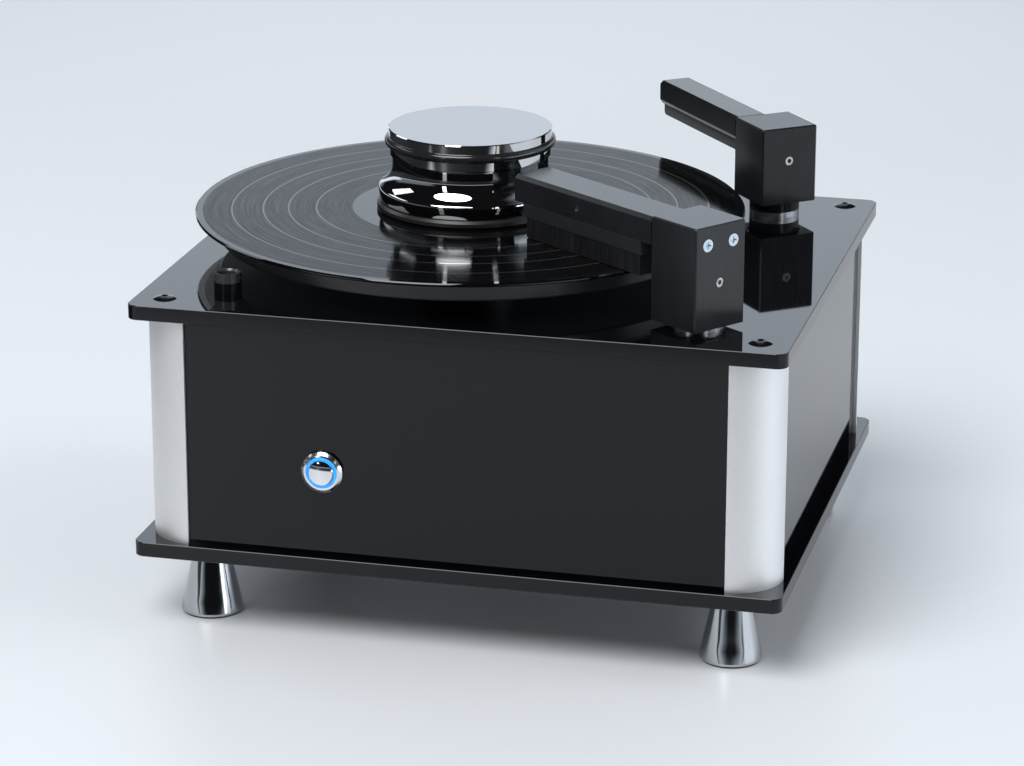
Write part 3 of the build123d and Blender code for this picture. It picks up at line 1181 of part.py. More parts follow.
def hoses():
    """Clean tank to pump, pump to brush arm, suction arm to waste tank, waste tank to turbine."""
    pump_left = PUMP_X - PUMP_SIZE[0] / 2
    tank_right = CLEAN_TANK_X + CLEAN_TANK[0] / 2
    feed_level = TANK_BOTTOM + TANK_WALL + GUIDE_PORT_RADIUS
    outlet_x = PUMP_X + PUMP_SIZE[0] / 4
    outlet_level = BASE_TOP + PUMP_SIZE[2] + PUMP_OUTLET_HEIGHT
    port_reach = GUIDE_RADIUS + GUIDE_PORT_LENGTH
    turbine_level = BASE_TOP + TURBINE_PORT_HEIGHT
    turbine_end = TURBINE_X + TURBINE_RADIUS + TURBINE_PORT_LENGTH
    waste_left = WASTE_TANK_X - WASTE_TANK[0] / 2
    waste_back = WASTE_TANK_Y + WASTE_TANK[1] / 2
    third = (waste_left - turbine_end) / 3
    return group([
        hose([(tank_right, PUMP_Y, feed_level), (pump_left, PUMP_Y, feed_level)]),
        hose([
            (outlet_x, PUMP_Y, outlet_level), (outlet_x, PUMP_Y, PORT_LEVEL),
            (BRUSH_X - port_reach, BRUSH_Y, PORT_LEVEL),
        ]),
        hose([
            (SUCTION_X - port_reach, SUCTION_Y, PORT_LEVEL), (SUCTION_HOSE_X, SUCTION_Y, PORT_LEVEL),
            (SUCTION_HOSE_X, waste_back, PORT_LEVEL),
        ]),
        hose([
            (turbine_end, TURBINE_Y, turbine_level), (turbine_end + third, TURBINE_Y, turbine_level),
            (waste_left - third, TURBINE_HOSE_Y, turbine_level), (waste_left, TURBINE_HOSE_Y, turbine_level),
        ]),
    ])


def power_supply():
    width, depth, height = SUPPLY_SIZE
    return brick(width, depth, height, SUPPLY_X, SUPPLY_Y, BASE_TOP)


def control_board():
    """The circuit board on its four posts, with its larger components."""
    width, depth, thickness = BOARD_SIZE
    z = BASE_TOP + BOARD_LIFT
    body = brick(width, depth, thickness, BOARD_X, BOARD_Y, z)
    for sx, sy in CORNERS:
        body += rod(
            BOARD_POST_RADIUS, BOARD_LIFT,
            BOARD_X + sx * (width / 2 - BOARD_POST_INSET),
            BOARD_Y + sy * (depth / 2 - BOARD_POST_INSET), BASE_TOP,
        )
    for place in COMPONENT_PLACES:
        body += brick(*COMPONENT_SIZE, BOARD_X + place, BOARD_Y + COMPONENT_SETBACK, z + thickness)
    return body


# ---------------------------------------------------------------- write every node
NODES = {
    "base_plate": base_plate,
    "top_plate": top_plate,
    "front_panel": front_panel,
    "rear_panel": rear_panel,
    "left_panel": lambda: side_panel(-1),
    "right_panel": lambda: side_panel(1),
    "corner_post_front_left": lambda: corner_post(-1, -1),
    "corner_post_front_right": lambda: corner_post(1, -1),
    "corner_post_rear_left": lambda: corner_post(-1, 1),
    "corner_post_rear_right": lambda: corner_post(1, 1),
    "feet": lambda: group(Pos(x, y, 0) * foot() for x, y in FOOT_PLACES),
    "foot_pads": lambda: group(rod(FOOT_PAD_RADIUS, FOOT_PAD_HEIGHT, x, y) for x, y in FOOT_PLACES),
    "foot_fixings": lambda: group(piece for x, y in FOOT_PLACES for piece in foot_fixings(x, y)),
    "case_screws": case_screws,
    "platter": platter,
    "platter_mat": platter_mat,
    "record_disc": record_disc,
    "spindle_shaft": spindle_shaft,
    "spindle_bearing_housing": bearing_housing,
    "spindle_bearings": spindle_bearings,
    "shaft_coupling": shaft_coupling,
    "platter_gear_motor": platter_gear_motor,
    "motor_bracket": motor_bracket,
    "clamp_body": clamp_body,
    "clamp_o_ring": clamp_o_ring,
    "clamp_base_ring": clamp_base_ring,
    "brush_arm_block": brush_arm_block,
    "brush_arm_bar": brush_arm_bar,
    "brush_holder": brush_holder,
    "brush_bristles": brush_bristles,
    "brush_arm_screws": brush_arm_screws,
    "brush_arm_shaft": brush_arm_shaft,
    "brush_arm_column": lambda: BRUSH_PLACE * arm_column(),
    "brush_arm_ring": lambda: arm_ring(BRUSH_X, BRUSH_Y),
    "brush_arm_guide": lambda: arm_guide(BRUSH_X, BRUSH_Y, 180),
    "suction_arm_block": suction_arm_block,
    "suction_arm_bar": suction_arm_bar,
    "suction_lips": suction_lips,
    "suction_arm_grub_screw": lambda: SUCTION_PLACE * shaft_grub(TOP + SUCTION_GRUB_HEIGHT),
    "suction_arm_shaft": suction_arm_shaft,
    "suction_arm_column": suction_arm_column,
    "suction_arm_ring": lambda: arm_ring(SUCTION_X, SUCTION_Y),
    "suction_arm_guide": lambda: arm_guide(SUCTION_X, SUCTION_Y, 180),
    "suction_lift_spring": suction_lift_spring,
    "filler_neck": filler_neck,
    "start_button_bezel": start_button_bezel,
    "start_button_light": start_button_light,
    "start_button_cap": start_button_cap,
    "power_inlet": power_inlet,
    "power_inlet_pins": power_inlet_pins,
    "power_switch_frame": power_switch_frame,
    "power_switch_rocker": power_switch_rocker,
    "clean_fluid_tank": clean_fluid_tank,
    "waste_fluid_tank": waste_fluid_tank,
    "tank_rails": tank_rails,
    "fluid_pump": fluid_pump,
    "vacuum_turbine": vacuum_turbine,
    "hoses": hoses,
    "power_supply": power_supply,
    "control_board": control_board,
}

for node_name, make in NODES.items():
    save(node_name, make())
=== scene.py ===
"""Looks of the record cleaning machine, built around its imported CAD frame. Metres, the row frame."""
import math

import bmesh
import bpy
from mathutils import Matrix, Vector

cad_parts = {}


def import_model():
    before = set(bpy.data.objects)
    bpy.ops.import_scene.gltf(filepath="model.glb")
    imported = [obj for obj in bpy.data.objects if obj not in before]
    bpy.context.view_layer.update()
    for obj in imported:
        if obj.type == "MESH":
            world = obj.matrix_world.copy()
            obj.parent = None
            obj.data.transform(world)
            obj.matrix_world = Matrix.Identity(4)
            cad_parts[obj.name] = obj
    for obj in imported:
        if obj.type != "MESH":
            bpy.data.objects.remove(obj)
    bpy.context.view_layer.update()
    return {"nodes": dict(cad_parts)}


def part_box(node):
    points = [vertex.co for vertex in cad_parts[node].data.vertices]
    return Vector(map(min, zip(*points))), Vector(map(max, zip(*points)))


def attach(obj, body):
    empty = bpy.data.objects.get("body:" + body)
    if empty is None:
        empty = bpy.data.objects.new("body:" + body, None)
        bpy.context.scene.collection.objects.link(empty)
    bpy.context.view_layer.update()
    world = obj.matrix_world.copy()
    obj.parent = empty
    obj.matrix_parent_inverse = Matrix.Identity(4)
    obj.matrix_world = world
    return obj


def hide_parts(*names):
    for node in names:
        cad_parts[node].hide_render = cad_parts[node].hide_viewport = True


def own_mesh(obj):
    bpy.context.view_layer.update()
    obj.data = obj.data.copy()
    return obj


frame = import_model()
NODES = frame["nodes"]

# ------------------------------------------------------------------ places taken from the frame
RECORD_LO, RECORD_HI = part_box("record_disc")
AXIS = (RECORD_LO + RECORD_HI) / 2
PLATE_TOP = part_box("top_plate")[1].z
# the brush arm's screws above this height are zinc plated, the grub screw below it is steel
SCREWS_LO, SCREWS_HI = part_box("brush_arm_screws")
SCREW_SPLIT = SCREWS_LO.z + 0.4 * (SCREWS_HI.z - SCREWS_LO.z)
# the filler neck is paler in its upper half
NECK_SPLIT = PLATE_TOP + 0.5 * (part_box("filler_neck")[1].z - PLATE_TOP)
BUTTON_LO, BUTTON_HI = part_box("start_button_cap")
BUTTON_FACE = Vector(((BUTTON_LO.x + BUTTON_HI.x) / 2, BUTTON_LO.y, (BUTTON_LO.z + BUTTON_HI.z) / 2))

# ------------------------------------------------------------------ the record's face
# radii where the grooves begin and where they are full, at the run-out and at the lead-in
GROOVES_INNER = (0.0648, 0.0654)
GROOVES_OUTER = (0.1478, 0.1472)
TRACK_GAPS = (0.1315, 0.1143, 0.1004, 0.0850)
# how far from a gap's middle its line begins and where it is full
GAP_EDGE = (0.00055, 0.00025)
# the track gaps' grey is a painted highlight standing in for the shine of their smooth vinyl
GAP_PAINTED_HIGHLIGHT = (0.05, 0.052, 0.056)
# how far the noise of the streaks moves on for each radian round the disc
STREAK_PACE = 0.0015

# ------------------------------------------------------------------ the studio
FLOOR = (0.812, 0.826, 0.853)
# the floor's colour for mirror rays where they see the painted dark reflection
MIRROR_PAINTED_DARK = (0.01, 0.01, 0.011)
FLOOR_REACH = 14.0
# where the floor's painted dark reflection begins and where it is full, as mirrors see it: y in front, x
# at the left
FRONT_PAINTED_DARK = (-0.64, -0.78)
LEFT_PAINTED_DARK = (-0.58, -0.74)
BACKDROP = (0.78, 0.865, 0.965)
DARK_ROOM = (0.008, 0.008, 0.009)
COOL = (0.98, 1.0, 1.02)
WHITE = (1.0, 1.0, 1.0)
# the soft boxes face this point from this far
LIGHT_AIM = Vector((0, 0, 0.1))
LIGHT_FAR = 4.5
# the camera's image in pixels and its sensor in millimetres
IMAGE_WIDTH = 1024
SENSOR = 36.0


# ------------------------------------------------------------------ node helpers
def scaled(color, factor):
    return tuple(c * factor for c in color)


class Tree:
    """A node tree in the making; what goes into a node is a socket, a number, a vector or a colour."""

    def __init__(self, owner):
        owner.use_nodes = True
        self.nodes, self.links = owner.node_tree.nodes, owner.node_tree.links

    def add(self, kind):
        return self.nodes.new("ShaderNode" + kind)

    def feed(self, socket, value):
        """Link another socket into this one, or set its value; a colour is three numbers."""
        if isinstance(value, bpy.types.NodeSocket):
            self.links.new(value, socket)
        elif socket.type == "RGBA":
            socket.default_value = (*value, 1.0)
        else:
            socket.default_value = value

    def coords(self, stretch=None):
        """The object's own coordinates, scaled by stretch if that is given."""
        place = self.add("TexCoord").outputs["Object"]
        if stretch is None:
            return place
        mapping = self.add("Mapping")
        self.feed(mapping.inputs["Scale"], stretch)
        self.feed(mapping.inputs["Vector"], place)
        return mapping.outputs["Vector"]

    def split(self, vector):
        """The X, Y and Z outputs of a vector."""
        node = self.add("SeparateXYZ")
        self.feed(node.inputs[0], vector)
        return node.outputs

    def join(self, x, y=0.0):
        """A vector from X and Y."""
        node = self.add("CombineXYZ")
        self.feed(node.inputs["X"], x)
        self.feed(node.inputs["Y"], y)
        return node.outputs[0]

    def noise(self, vector, scale, detail=4.0, rough=0.55):
        node = self.add("TexNoise")
        self.feed(node.inputs["Scale"], scale)
        self.feed(node.inputs["Detail"], detail)
        self.feed(node.inputs["Roughness"], rough)
        self.feed(node.inputs["Vector"], vector)
        return node.outputs["Fac"]

    def ramp(self, fac, start, first, end, second):
        """The first colour up to where fac is start, the second from where it is end, even between."""
        node = self.add("ValToRGB")
        for stop, place, color in zip(node.color_ramp.elements, (start, end), (first, second)):
            stop.position = place
            stop.color = (*color, 1.0)
        self.feed(node.inputs["Fac"], fac)
        return node.outputs["Color"]

    def blend(self, fac, first, second):
        """The first colour where fac is 0, the second where it is 1."""
        node = self.add("Mix")
        node.data_type = "RGBA"
        self.feed(node.inputs["Factor"], fac)
        self.feed(node.inputs[6], first)
        self.feed(node.inputs[7], second)
        return node.outputs[2]

    def spread(self, fac, low, high):
        """A factor from 0 to 1 as a number from low to high."""
        node = self.add("MapRange")
        self.feed(node.inputs["To Min"], low)
        self.feed(node.inputs["To Max"], high)
        self.feed(node.inputs["Value"], fac)
        return node.outputs["Result"]

    def step(self, value, start, end):
        """0 before start and 1 after end, smooth between; start may be the larger."""
        node = self.add("MapRange")
        node.interpolation_type = "SMOOTHSTEP"
        self.feed(node.inputs["From Min"], start)
        self.feed(node.inputs["From Max"], end)
        self.feed(node.inputs["Value"], value)
        return node.outputs["Result"]

    def op(self, kind, *values):
        """A math node; the kinds in use here have one or two inputs."""
        node = self.add("Math")
        node.operation = kind
        for socket, value in zip(node.inputs, values):
            self.feed(socket, value)
        return node.outputs[0]

    def fold(self, kind, total, *rest):
        """One operation over all the values, from the left."""
        for value in rest:
            total = self.op(kind, total, value)
        return total

    def plus(self, *values):
        return self.fold("ADD", *values)

    def minus(self, first, second):
        return self.op("SUBTRACT", first, second)

    def times(self, *values):
        return self.fold("MULTIPLY", *values)

    def most(self, *values):
        return self.fold("MAXIMUM", *values)

    def vector(self, kind, first, second=None, out=0):
        node = self.add("VectorMath")
        node.operation = kind
        self.feed(node.inputs[0], first)
        if second is not None:
            self.feed(node.inputs["Scale" if kind == "SCALE" else 1], second)
        return node.outputs[out]

    def glossy_ray(self):
        """1 for rays that come from a mirror or a sheen, 0 for the rest."""
        return self.add("LightPath").outputs["Is Glossy Ray"]


class Paint(Tree):
    """A material round its Principled shader."""

    def __init__(self, name, **values):
        self.mat = bpy.data.materials.new(name)
        super().__init__(self.mat)
        self.bsdf = self.nodes["Principled BSDF"]
        self.put(**values)

    def put(self, **values):
        """The shader's inputs by name, with an underscore for each space."""
        for key, value in values.items():
            self.feed(self.bsdf.inputs[key.replace("_", " ")], value)

    def bump(self, height, strength, distance):
        node = self.add("Bump")
        self.feed(node.inputs["Strength"], strength)
        self.feed(node.inputs["Distance"], distance)
        self.feed(node.inputs["Height"], height)
        self.put(Normal=node.outputs["Normal"])

    def coat_level_faces(self, weight):
        """A coat on the faces that look straight up, and none on the rest."""
        normal = self.split(self.add("NewGeometry").outputs["True Normal"])
        self.put(Coat_Weight=self.times(self.step(normal["Z"], 0.9, 0.99), weight))


# ------------------------------------------------------------------ materials
def gloss_black(name, color, ior=1.5, rough=0.03, coat=0.0):
    """Polished black acrylic with very faint dust and haze."""
    p = Paint(name, IOR=ior, Coat_Weight=coat, Coat_Roughness=rough, Coat_IOR=1.5)
    dust = p.noise(p.coords(), 900, 3.0, 0.7)
    haze = p.noise(p.coords(), 14, 3.0)
    p.put(Base_Color=p.ramp(dust, 0.35, color, 0.8, scaled(color, 1.9)),
          Roughness=p.spread(haze, rough * 0.7, rough * 1.35))
    return p


def satin_aluminium(name):
    """Fine bead-blasted, clear anodised extrusion."""
    p = Paint(name, Metallic=0.9, Diffuse_Roughness=0.5)
    grain = p.noise(p.coords((1, 1, 0.25)), 2600, 3.0)
    p.put(Base_Color=p.ramp(grain, 0.3, (0.81, 0.81, 0.805), 0.7, (0.86, 0.86, 0.855)),
          Roughness=p.spread(grain, 0.46, 0.54))
    p.bump(p.noise(p.coords(), 3800, 2.0), 0.14, 0.0001)
    return p


def chrome(name, color, rough):
    """Polished metal with a faint haze."""
    p = Paint(name, Metallic=1.0, Base_Color=color)
    haze = p.noise(p.coords(), 60, 3.0)
    p.put(Roughness=p.spread(haze, rough * 0.6, rough * 1.6))
    return p


def domed(name, centre, radius, rough, color=(0.78, 0.79, 0.81)):
    """Turned chrome that shades like a dome of that radius round the centre."""
    p = Paint(name, Metallic=1.0, Base_Color=color)
    away = p.vector("SUBTRACT", p.coords(), centre)
    # how far the dome has fallen away from its top, in metres
    height = p.times(p.vector("DOT_PRODUCT", away, away, out="Value"), -0.5 / radius)
    haze = p.noise(p.coords(), 900, 2.0)
    p.put(Roughness=p.spread(haze, rough * 0.7, rough * 1.4))
    p.bump(height, 1.0, 1.0)
    return p


def rubber(name, color=(0.012, 0.012, 0.013), rough=0.32):
    """Black rubber with a fine grain."""
    p = Paint(name, IOR=1.52)
    grain = p.noise(p.coords(), 1400, 4.0)
    p.put(Base_Color=p.ramp(grain, 0.3, color, 0.75, scaled(color, 1.6)),
          Roughness=p.spread(grain, rough * 0.85, rough * 1.2))
    p.bump(grain, 0.08, 0.00005)
    return p


def anodised(name, ior, flat_coat, tone):
    """Satin black anodised stock: fine upright brushing, a cloudy sheen and a coat on level faces; tone
    lightens or darkens its black for each part as painted light and shade.
    """
    p = Paint(name, IOR=ior, Coat_Roughness=0.12)
    p.coat_level_faces(flat_coat)
    lines = p.noise(p.coords((1, 1, 0.02)), 1700, 3.0)
    cloud = p.noise(p.coords((1, 1, 0.5)), 38, 4.0)
    both = p.plus(p.times(lines, 0.5), p.times(cloud, 0.5))
    # tone scales the black for each part as painted light and shade
    dark, light = scaled((0.005, 0.0054, 0.0062), tone), scaled((0.0092, 0.0098, 0.0112), tone)
    p.put(Base_Color=p.ramp(both, 0.35, dark, 0.65, light), Roughness=p.spread(both, 0.12, 0.3))
    p.bump(lines, 0.06, 0.00004)
    return p


def bristles(name):
    """Black bristles: upright hairs packed side by side, a little glossy at their flanks."""
    p = Paint(name, IOR=1.45)
    hair = p.noise(p.coords((1, 1, 0.015)), 1500, 2.0, 0.8)
    tuft = p.noise(p.coords((1, 1, 0.05)), 320, 2.0)
    p.put(Base_Color=p.ramp(hair, 0.4, (0.001, 0.001, 0.0011), 0.68, (0.016, 0.0165, 0.018)),
          Roughness=p.spread(tuft, 0.35, 0.6))
    p.bump(hair, 0.8, 0.0004)
    return p


def two_finish(name, level, above, below, rough, metal=1.0, edge=0.0005):
    """One piece in two finishes that meet at a height."""
    p = Paint(name, Metallic=metal)
    grain = p.noise(p.coords(), 1400, 3.0)
    high = p.step(p.split(p.coords())["Z"], level - edge, level + edge)
    p.put(Base_Color=p.blend(high, p.ramp(grain, 0.3, scaled(below, 0.85), 0.7, below),
                             p.ramp(grain, 0.3, scaled(above, 0.9), 0.7, above)),
          Roughness=p.spread(grain, rough * 0.8, rough * 1.2))
    return p


def brushed(name, color, rough, stretch=(1, 1, 0.03)):
    """Bare metal with a fine grain, drawn out upright unless stretch says otherwise."""
    p = Paint(name, Metallic=1.0)
    grain = p.noise(p.coords(stretch), 900.0, 3.0)
    p.put(Base_Color=p.ramp(grain, 0.3, scaled(color, 0.86), 0.7, color),
          Roughness=p.spread(grain, rough * 0.8, rough * 1.25))
    p.bump(grain, 0.08, 0.00005)
    return p


def plastic(name, color, rough, fine=1200.0, depth=0.12, **more):
    """Moulded plastic, a fine grain on a slow drift of its tone; more is further shader inputs."""
    p = Paint(name, IOR=1.48, Coat_Roughness=0.1, **more)
    grain = p.noise(p.coords(), fine, 3.0)
    drift = p.noise(p.coords(), 22.0, 3.0)
    p.put(Base_Color=p.ramp(drift, 0.3, scaled(color, 0.9), 0.7, scaled(color, 1.08)),
          Roughness=p.spread(grain, rough * 0.85, rough * 1.2))
    p.bump(grain, depth, 0.00006)
    return p


def light_ring(name):
    """The lit blue ring, a little uneven."""
    p = Paint(name, Base_Color=(0.0, 0.1, 0.5), Roughness=0.3, Emission_Strength=1.35)
    glow = p.noise(p.coords(), 260, 2.0)
    p.put(Emission_Color=p.ramp(glow, 0.3, (0.01, 0.2, 0.8), 0.72, (0.05, 0.4, 1.0)))
    return p


def vinyl(name):
    """Grooved vinyl: mirror black, blurred along the radius, with fine rings of painted sheen and track
    gaps painted bright as a painted highlight.
    """
    p = Paint(name, IOR=1.2, Anisotropic=0.85, Anisotropic_Rotation=0.25, Coat_Roughness=0.04)
    # distance from the record's axis and the angle round it
    off_axis = p.vector("SUBTRACT", p.coords(), (AXIS.x, AXIS.y, 0))
    r = p.vector("LENGTH", p.vector("MULTIPLY", off_axis, (1, 1, 0)), out="Value")
    place = p.split(p.coords())
    angle = p.op("ARCTAN2", p.minus(place["Y"], AXIS.y), p.minus(place["X"], AXIS.x))
    across = p.join(r)
    rings = p.noise(across, 2400, 3.0, 0.7)
    bands = p.noise(across, 420, 4.0, 0.7)
    # fine streaks that run along the grooves and fade in and out round the disc
    streaks = p.noise(p.join(r, p.times(angle, STREAK_PACE)), 1500, 4.0, 0.75)
    # sheen that drifts slowly round the disc
    drift = p.noise(p.coords((1, 1, 0)), 14, 3.0, 0.6)
    # where the grooves are: not on the lead-in, the track gaps or the run-out
    played = p.times(p.step(r, *GROOVES_INNER), p.step(r, *GROOVES_OUTER))
    gaps = p.most(*(p.step(p.op("ABSOLUTE", p.minus(r, gap)), *GAP_EDGE) for gap in TRACK_GAPS))
    grooved = p.times(played, p.minus(1.0, gaps))
    shade = p.plus(p.times(bands, 0.6), p.times(rings, 0.4))
    # painted sheen: the black turns lighter and darker ring by ring, standing in for the grooves'
    # changing sheen
    dark = p.ramp(shade, 0.35, (0.0004, 0.00045, 0.0005), 0.65, (0.0045, 0.0047, 0.0052))
    uneven = p.plus(p.spread(bands, 0.0, 0.07), p.spread(drift, 0.0, 0.05))
    # a mirror skin that the grooves wear thin
    skin = p.step(streaks, 0.42, 0.64)
    worn = p.minus(1.0, p.times(grooved, p.minus(1.0, p.times(skin, 0.42))))
    tangent = p.add("Tangent")
    tangent.direction_type, tangent.axis = "RADIAL", "Z"
    # the track gaps take the painted highlight grey, the grooves the black with its painted ring sheen
    p.put(Base_Color=p.blend(gaps, dark, GAP_PAINTED_HIGHLIGHT),
          Tangent=tangent.outputs[0],
          Roughness=p.plus(p.times(grooved, uneven), 0.03),
          Coat_Weight=p.times(worn, 0.75))
    p.bump(p.times(shade, grooved), 0.3, 0.00004)
    return p


def give(paint, *names):
    """Put a material on CAD nodes, and return it."""
    for name in names:
        data = NODES[name].data
        data.materials.clear()
        data.materials.append(paint.mat)
    return paint.mat


# the casing and its feet
acrylic = gloss_black("black_acrylic_plate", (0.0016, 0.0019, 0.0030), ior=1.4)
acrylic.coat_level_faces(0.62)
give(acrylic, "base_plate", "top_plate")
give(gloss_black("black_panel_front", (0.0013, 0.0016, 0.0026), ior=1.385, rough=0.05), "front_panel")
give(gloss_black("black_panel_side", (0.0013, 0.0016, 0.0026), ior=1.62, rough=0.05),
     "rear_panel", "left_panel", "right_panel")
give(gloss_black("black_screw", (0.004, 0.004, 0.0045), rough=0.12, coat=0.5), "case_screws")
give(satin_aluminium("satin_aluminium"), "corner_post_front_left", "corner_post_front_right",
     "corner_post_rear_left", "corner_post_rear_right", "spindle_bearing_housing")
give(chrome("foot_chrome", (0.53, 0.54, 0.55), 0.03), "feet")
give(rubber("black_rubber"), "foot_pads", "clamp_base_ring")
give(two_finish("filler_black", NECK_SPLIT, (0.1, 0.106, 0.115), (0.012, 0.012, 0.013), 0.26,
                metal=0.5, edge=0.0002), "filler_neck")

# the turntable and its clamp
give(plastic("platter_black", (0.03, 0.031, 0.033), 0.32, 900.0, Coat_Weight=0.2), "platter")
give(rubber("mat_rubber", (0.014, 0.014, 0.015), 0.5), "platter_mat")
give(vinyl("grooved_vinyl"), "record_disc")
give(chrome("mirror_chrome", (0.60, 0.605, 0.61), 0.02), "clamp_body")
give(rubber("o_ring_rubber", rough=0.14), "clamp_o_ring")

# the arms
# the same anodised black in three tones as painted light and shade: the brush arm and the suction arm's
# block and column are lightened, and the suction bar, which faces the light, is darkened
give(anodised("anodised_black", 1.5, 0.38, 2.0), "brush_arm_block", "brush_arm_bar", "brush_arm_column")
give(anodised("anodised_suction_arm", 1.42, 0.3, 1.7), "suction_arm_block", "suction_arm_column")
give(anodised("anodised_suction_bar", 1.3, 0.72, 0.3), "suction_arm_bar")
give(chrome("polished_steel", (0.62, 0.64, 0.66), 0.12),
     "spindle_shaft", "brush_arm_shaft", "suction_arm_shaft")
give(chrome("ring_steel", (0.72, 0.73, 0.75), 0.24), "brush_arm_ring", "suction_arm_ring")
give(two_finish("screw_finishes", SCREW_SPLIT, (0.66, 0.76, 0.84), (0.62, 0.6, 0.57), 0.3),
     "brush_arm_screws")
give(brushed("steel_grub_screw", (0.62, 0.6, 0.57), 0.2, (1, 1, 1)), "suction_arm_grub_screw")
give(plastic("holder_black", (0.022, 0.023, 0.025), 0.35, 900.0, 0.06), "brush_holder")
give(bristles("black_bristle"), "brush_bristles")
give(plastic("black_velvet", (0.006, 0.006, 0.0065), 0.9, 3000.0, 0.6,
             Sheen_Weight=0.6, Sheen_Roughness=0.4), "suction_lips")

# the start button and the services at the rear
give(domed("domed_chrome", BUTTON_FACE, 0.02, 0.07), "start_button_cap")
give(domed("bezel_chrome", BUTTON_FACE, 0.03, 0.17), "start_button_bezel")
give(light_ring("blue_light_ring"), "start_button_light")
give(plastic("inlet_black", (0.022, 0.022, 0.023), 0.45),
     "power_inlet", "power_switch_frame", "power_switch_rocker", "tank_rails")
give(brushed("brass_pin", (0.78, 0.6, 0.3), 0.25), "power_inlet_pins")

# what is inside
INNER = give(brushed("inner_steel", (0.5, 0.51, 0.53), 0.35), "foot_fixings", "spindle_bearings",
             "shaft_coupling", "motor_bracket", "suction_arm_guide", "brush_arm_guide",
             "suction_lift_spring", "power_supply")
give(plastic("tank_milky", (0.62, 0.64, 0.65), 0.5, 300.0), "clean_fluid_tank", "waste_fluid_tank")
give(plastic("motor_grey", (0.16, 0.17, 0.18), 0.45, 700.0),
     "platter_gear_motor", "fluid_pump", "vacuum_turbine")
give(plastic("board_green", (0.02, 0.12, 0.05), 0.4, 1500.0), "control_board")
give(rubber("hose_black", rough=0.4), "hoses")


# ------------------------------------------------------------------ object helpers
def add_object(name, data):
    obj = bpy.data.objects.new(name, data)
    bpy.context.scene.collection.objects.link(obj)
    return obj


def add_mesh(name, bm, mat):
    """An object from a bmesh, which is freed."""
    mesh = bpy.data.meshes.new(name)
    bm.to_mesh(mesh)
    bm.free()
    mesh.materials.append(mat)
    return add_object(name, mesh)


def toward(azimuth, elevation):
    """The unit vector to a place seen at these degrees; azimuth 0 is the front, 90 the right."""
    a, e = math.radians(azimuth), math.radians(elevation)
    return Vector((math.sin(a) * math.cos(e), -math.cos(a) * math.cos(e), math.sin(e)))


# ------------------------------------------------------------------ the suction arm's lift spring, a rigid coil that rides its column
def lift_spring(wire=0.0006, turns=6, steps=36, sides=10):
    """A round coil in the place of the CAD spring, as wide and as high; wire is its radius."""
    low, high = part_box("suction_lift_spring")
    centre = (low + high) / 2
    radius = (high.x - low.x) / 2 - wire
    rise = high.z - low.z - 2 * wire
    slope = math.atan2(rise, turns * 2 * math.pi * radius)
    bm = bmesh.new()
    rings = []
    for i in range(turns * steps + 1):
        a = 2 * math.pi * i / steps
        out = Vector((math.cos(a), math.sin(a), 0))
        along = Vector((-out.y * math.cos(slope), out.x * math.cos(slope), math.sin(slope)))
        up = out.cross(along)
        place = Vector((centre.x, centre.y, low.z + wire + rise * i / (turns * steps))) + out * radius
        turn = [2 * math.pi * j / sides for j in range(sides)]
        rings.append([bm.verts.new(place + wire * (math.cos(b) * out + math.sin(b) * up)) for b in turn])
    for first, second in zip(rings, rings[1:]):
        for j in range(sides):
            k = (j + 1) % sides
            bm.faces.new((first[j], second[j], second[k], first[k])).smooth = True
    bm.faces.new(rings[0])
    bm.faces.new(reversed(rings[-1]))
    bmesh.ops.recalc_face_normals(bm, faces=bm.faces)
    obj = add_mesh("lift_spring", bm, INNER)
    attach(obj, "suction_column")
    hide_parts("suction_lift_spring")
    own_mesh(obj)


lift_spring()


# ------------------------------------------------------------------ studio
def floor():
    """A pale level floor; for mirror rays its colour is painted dark in front of the object and at its
    left, a painted reflection of a dark room.
    """
    p = Paint("pale_floor", Roughness=0.38, Specular_IOR_Level=0.5)
    place = p.split(p.coords())
    pale = p.ramp(p.noise(p.coords(), 1.2, 2.0), 0.3, FLOOR, 0.7, scaled(FLOOR, 1.02))
    painted_dark_reflection = p.most(p.step(place["Y"], *FRONT_PAINTED_DARK), p.step(place["X"], *LEFT_PAINTED_DARK))
    # mirror rays see the painted dark reflection there, all other rays the pale floor
    p.put(Base_Color=p.blend(p.times(painted_dark_reflection, p.glossy_ray()), pale, MIRROR_PAINTED_DARK))
    bm = bmesh.new()
    bmesh.ops.create_grid(bm, x_segments=8, y_segments=8, size=FLOOR_REACH)
    obj = add_mesh("floor", bm, p.mat)


def area(name, azimuth, elevation, size, radiance, shape="RECTANGLE", color=WHITE):
    """A soft box or an oval dish seen from the object in one direction, facing it."""
    way = toward(azimuth, elevation)
    light = bpy.data.lights.new(name, "AREA")
    light.shape = shape
    light.size, light.size_y = size
    cover = math.pi / 4 if shape == "ELLIPSE" else 1.0
    light.energy = radiance * math.pi * size[0] * size[1] * cover
    light.color = color
    obj = add_object(name, light)
    obj.location = LIGHT_AIM + way * LIGHT_FAR
    across = Vector((0, 0, 1)).cross(way).normalized()
    turn = Matrix((across, way.cross(across), way)).transposed()
    obj.rotation_mode = "QUATERNION"
    obj.rotation_quaternion = turn.to_quaternion()
    return obj


def pool(name, place, watts, cone):
    """A soft pool of light straight down on the floor, well behind the object."""
    light = bpy.data.lights.new(name, "SPOT")
    light.energy = watts
    light.spot_size = math.radians(cone)
    light.spot_blend = 1.0
    light.shadow_soft_size = 0.2
    obj = add_object(name, light)
    obj.location = place
    obj.visible_glossy = False


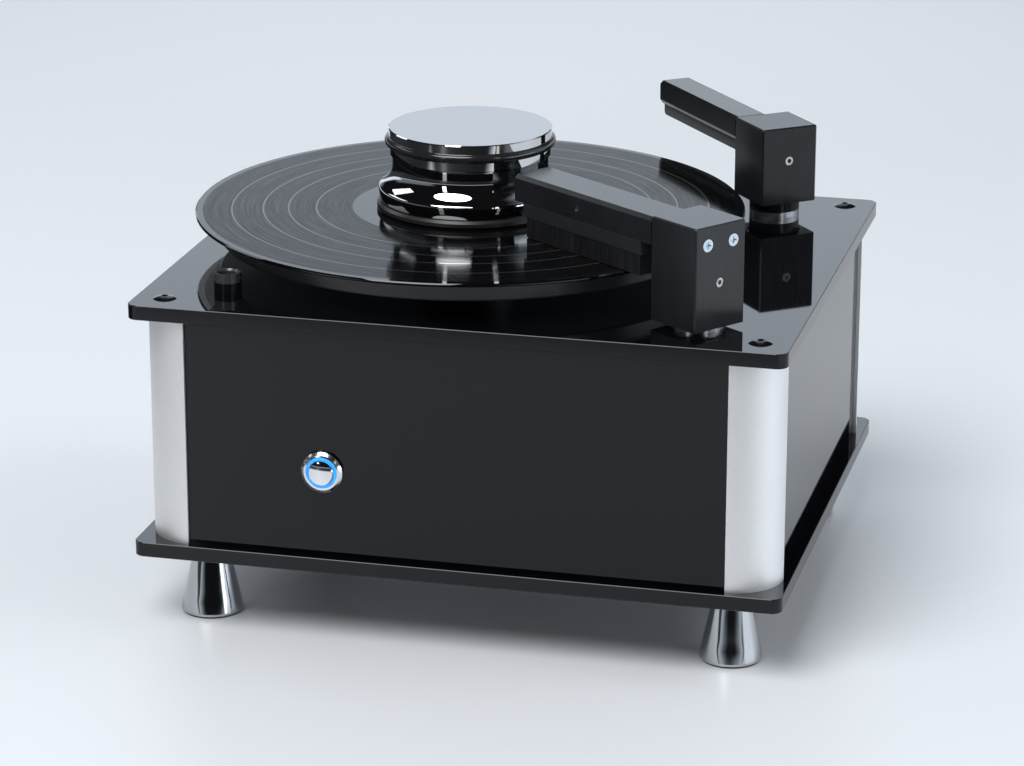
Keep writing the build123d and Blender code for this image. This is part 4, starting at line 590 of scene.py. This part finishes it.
def world():
    """A pale curved backdrop behind and low screens at both sides, a dark room in front and overhead."""
    studio = bpy.data.worlds.new("studio")
    bpy.context.scene.world = studio
    t = Tree(studio)

    def edge(angle, start, end):
        """0 before start and 1 after end, in degrees; start may be the larger."""
        return t.step(angle, math.radians(start), math.radians(end))

    def span(angle, start, full, fade, end):
        """Rises from start to full and falls from fade to end, in degrees."""
        return t.times(edge(angle, start, full), edge(angle, end, fade))

    way = t.split(t.add("TexCoord").outputs["Generated"])
    height = t.op("ARCSINE", way["Z"])
    # the angle round the object: 0 in front, positive to the right
    turn = t.op("ARCTAN2", way["X"], t.times(way["Y"], -1.0))
    wide = t.op("ABSOLUTE", turn)
    # two black flags that only mirrors see: behind at the right, and at the left, which reaches lower
    glossy = t.glossy_ray()
    right_flag = t.times(span(turn, 130, 146, 176, 181), edge(height, 7, 11))
    left_flag = t.times(span(turn, -158, -140, -70, -60), edge(height, 3, 7))
    no_flag = t.minus(1.0, t.times(t.most(right_flag, left_flag), glossy))
    no_left_flag = t.minus(1.0, t.times(left_flag, glossy))
    # the backdrop starts 18 degrees further back at the left; 0.2 radians either side of the
    # front pass from one to the other
    set_back = t.times(t.step(turn, 0.2, -0.2), math.radians(-18))
    light = t.most(
        # the backdrop behind, up to where it curves out of the light
        t.times(edge(t.plus(wide, set_back), 80, 112), no_flag, edge(height, 68, 34)),
        # lit screens low at both back corners
        t.times(span(wide, 92, 112, 154, 172), no_left_flag, 1.3, edge(height, 20, 11)),
        # a low screen at the right and a dimmer one at the left
        t.times(span(turn, 58, 70, 104, 118), 5.0, edge(height, 13, 8)),
        t.times(span(turn, -118, -104, -48, -34), 0.25, edge(height, 13, 8)),
        # nowhere darker than this from the horizon down
        t.times(edge(height, 2, 0), 0.7),
    )
    room = t.vector("ADD", t.vector("SCALE", BACKDROP, light), DARK_ROOM)
    background = t.nodes["Background"]
    t.feed(background.inputs["Color"], room)
    t.feed(background.inputs["Strength"], 1.0)


def camera(place, azimuth, elevation, roll, focal_px):
    """The camera, which looks from the side that azimuth and elevation say; focal_px is in pixels."""
    back = toward(azimuth, elevation)
    right = toward(azimuth + 90, 0)
    up = back.cross(right)
    r = math.radians(roll)
    right, up = right * math.cos(r) + up * math.sin(r), up * math.cos(r) - right * math.sin(r)
    data = bpy.data.cameras.new("camera")
    data.sensor_width = SENSOR
    data.lens = focal_px / IMAGE_WIDTH * SENSOR
    data.clip_start, data.clip_end = 0.1, 50
    obj = add_object("camera", data)
    turn = Matrix((right, up, back)).transposed()
    obj.matrix_world = Matrix.Translation(place) @ turn.to_4x4()
    bpy.context.scene.camera = obj


floor()
world()
area("front_box", -20, 56, (3.2, 2.9), 7.9, "ELLIPSE", COOL)
area("left_box", -103, 33, (2.9, 0.9), 2.0, color=COOL)
area("right_fill", 95, 42, (2.0, 2.0), 2.9).visible_glossy = False
area("right_strip", 51.6, 22, (0.5, 1.9), 3.0)
area("left_strip", -23.5, 22, (0.45, 1.9), 3.0)
pool("back_pool", (-0.33, 1.5, 2.2), 16.0, 36)
camera((0.4735, -1.9195, 0.7579), 13.97, 18.284, 0.062, 3724.8)

bpy.context.scene.view_settings.view_transform = "Standard"
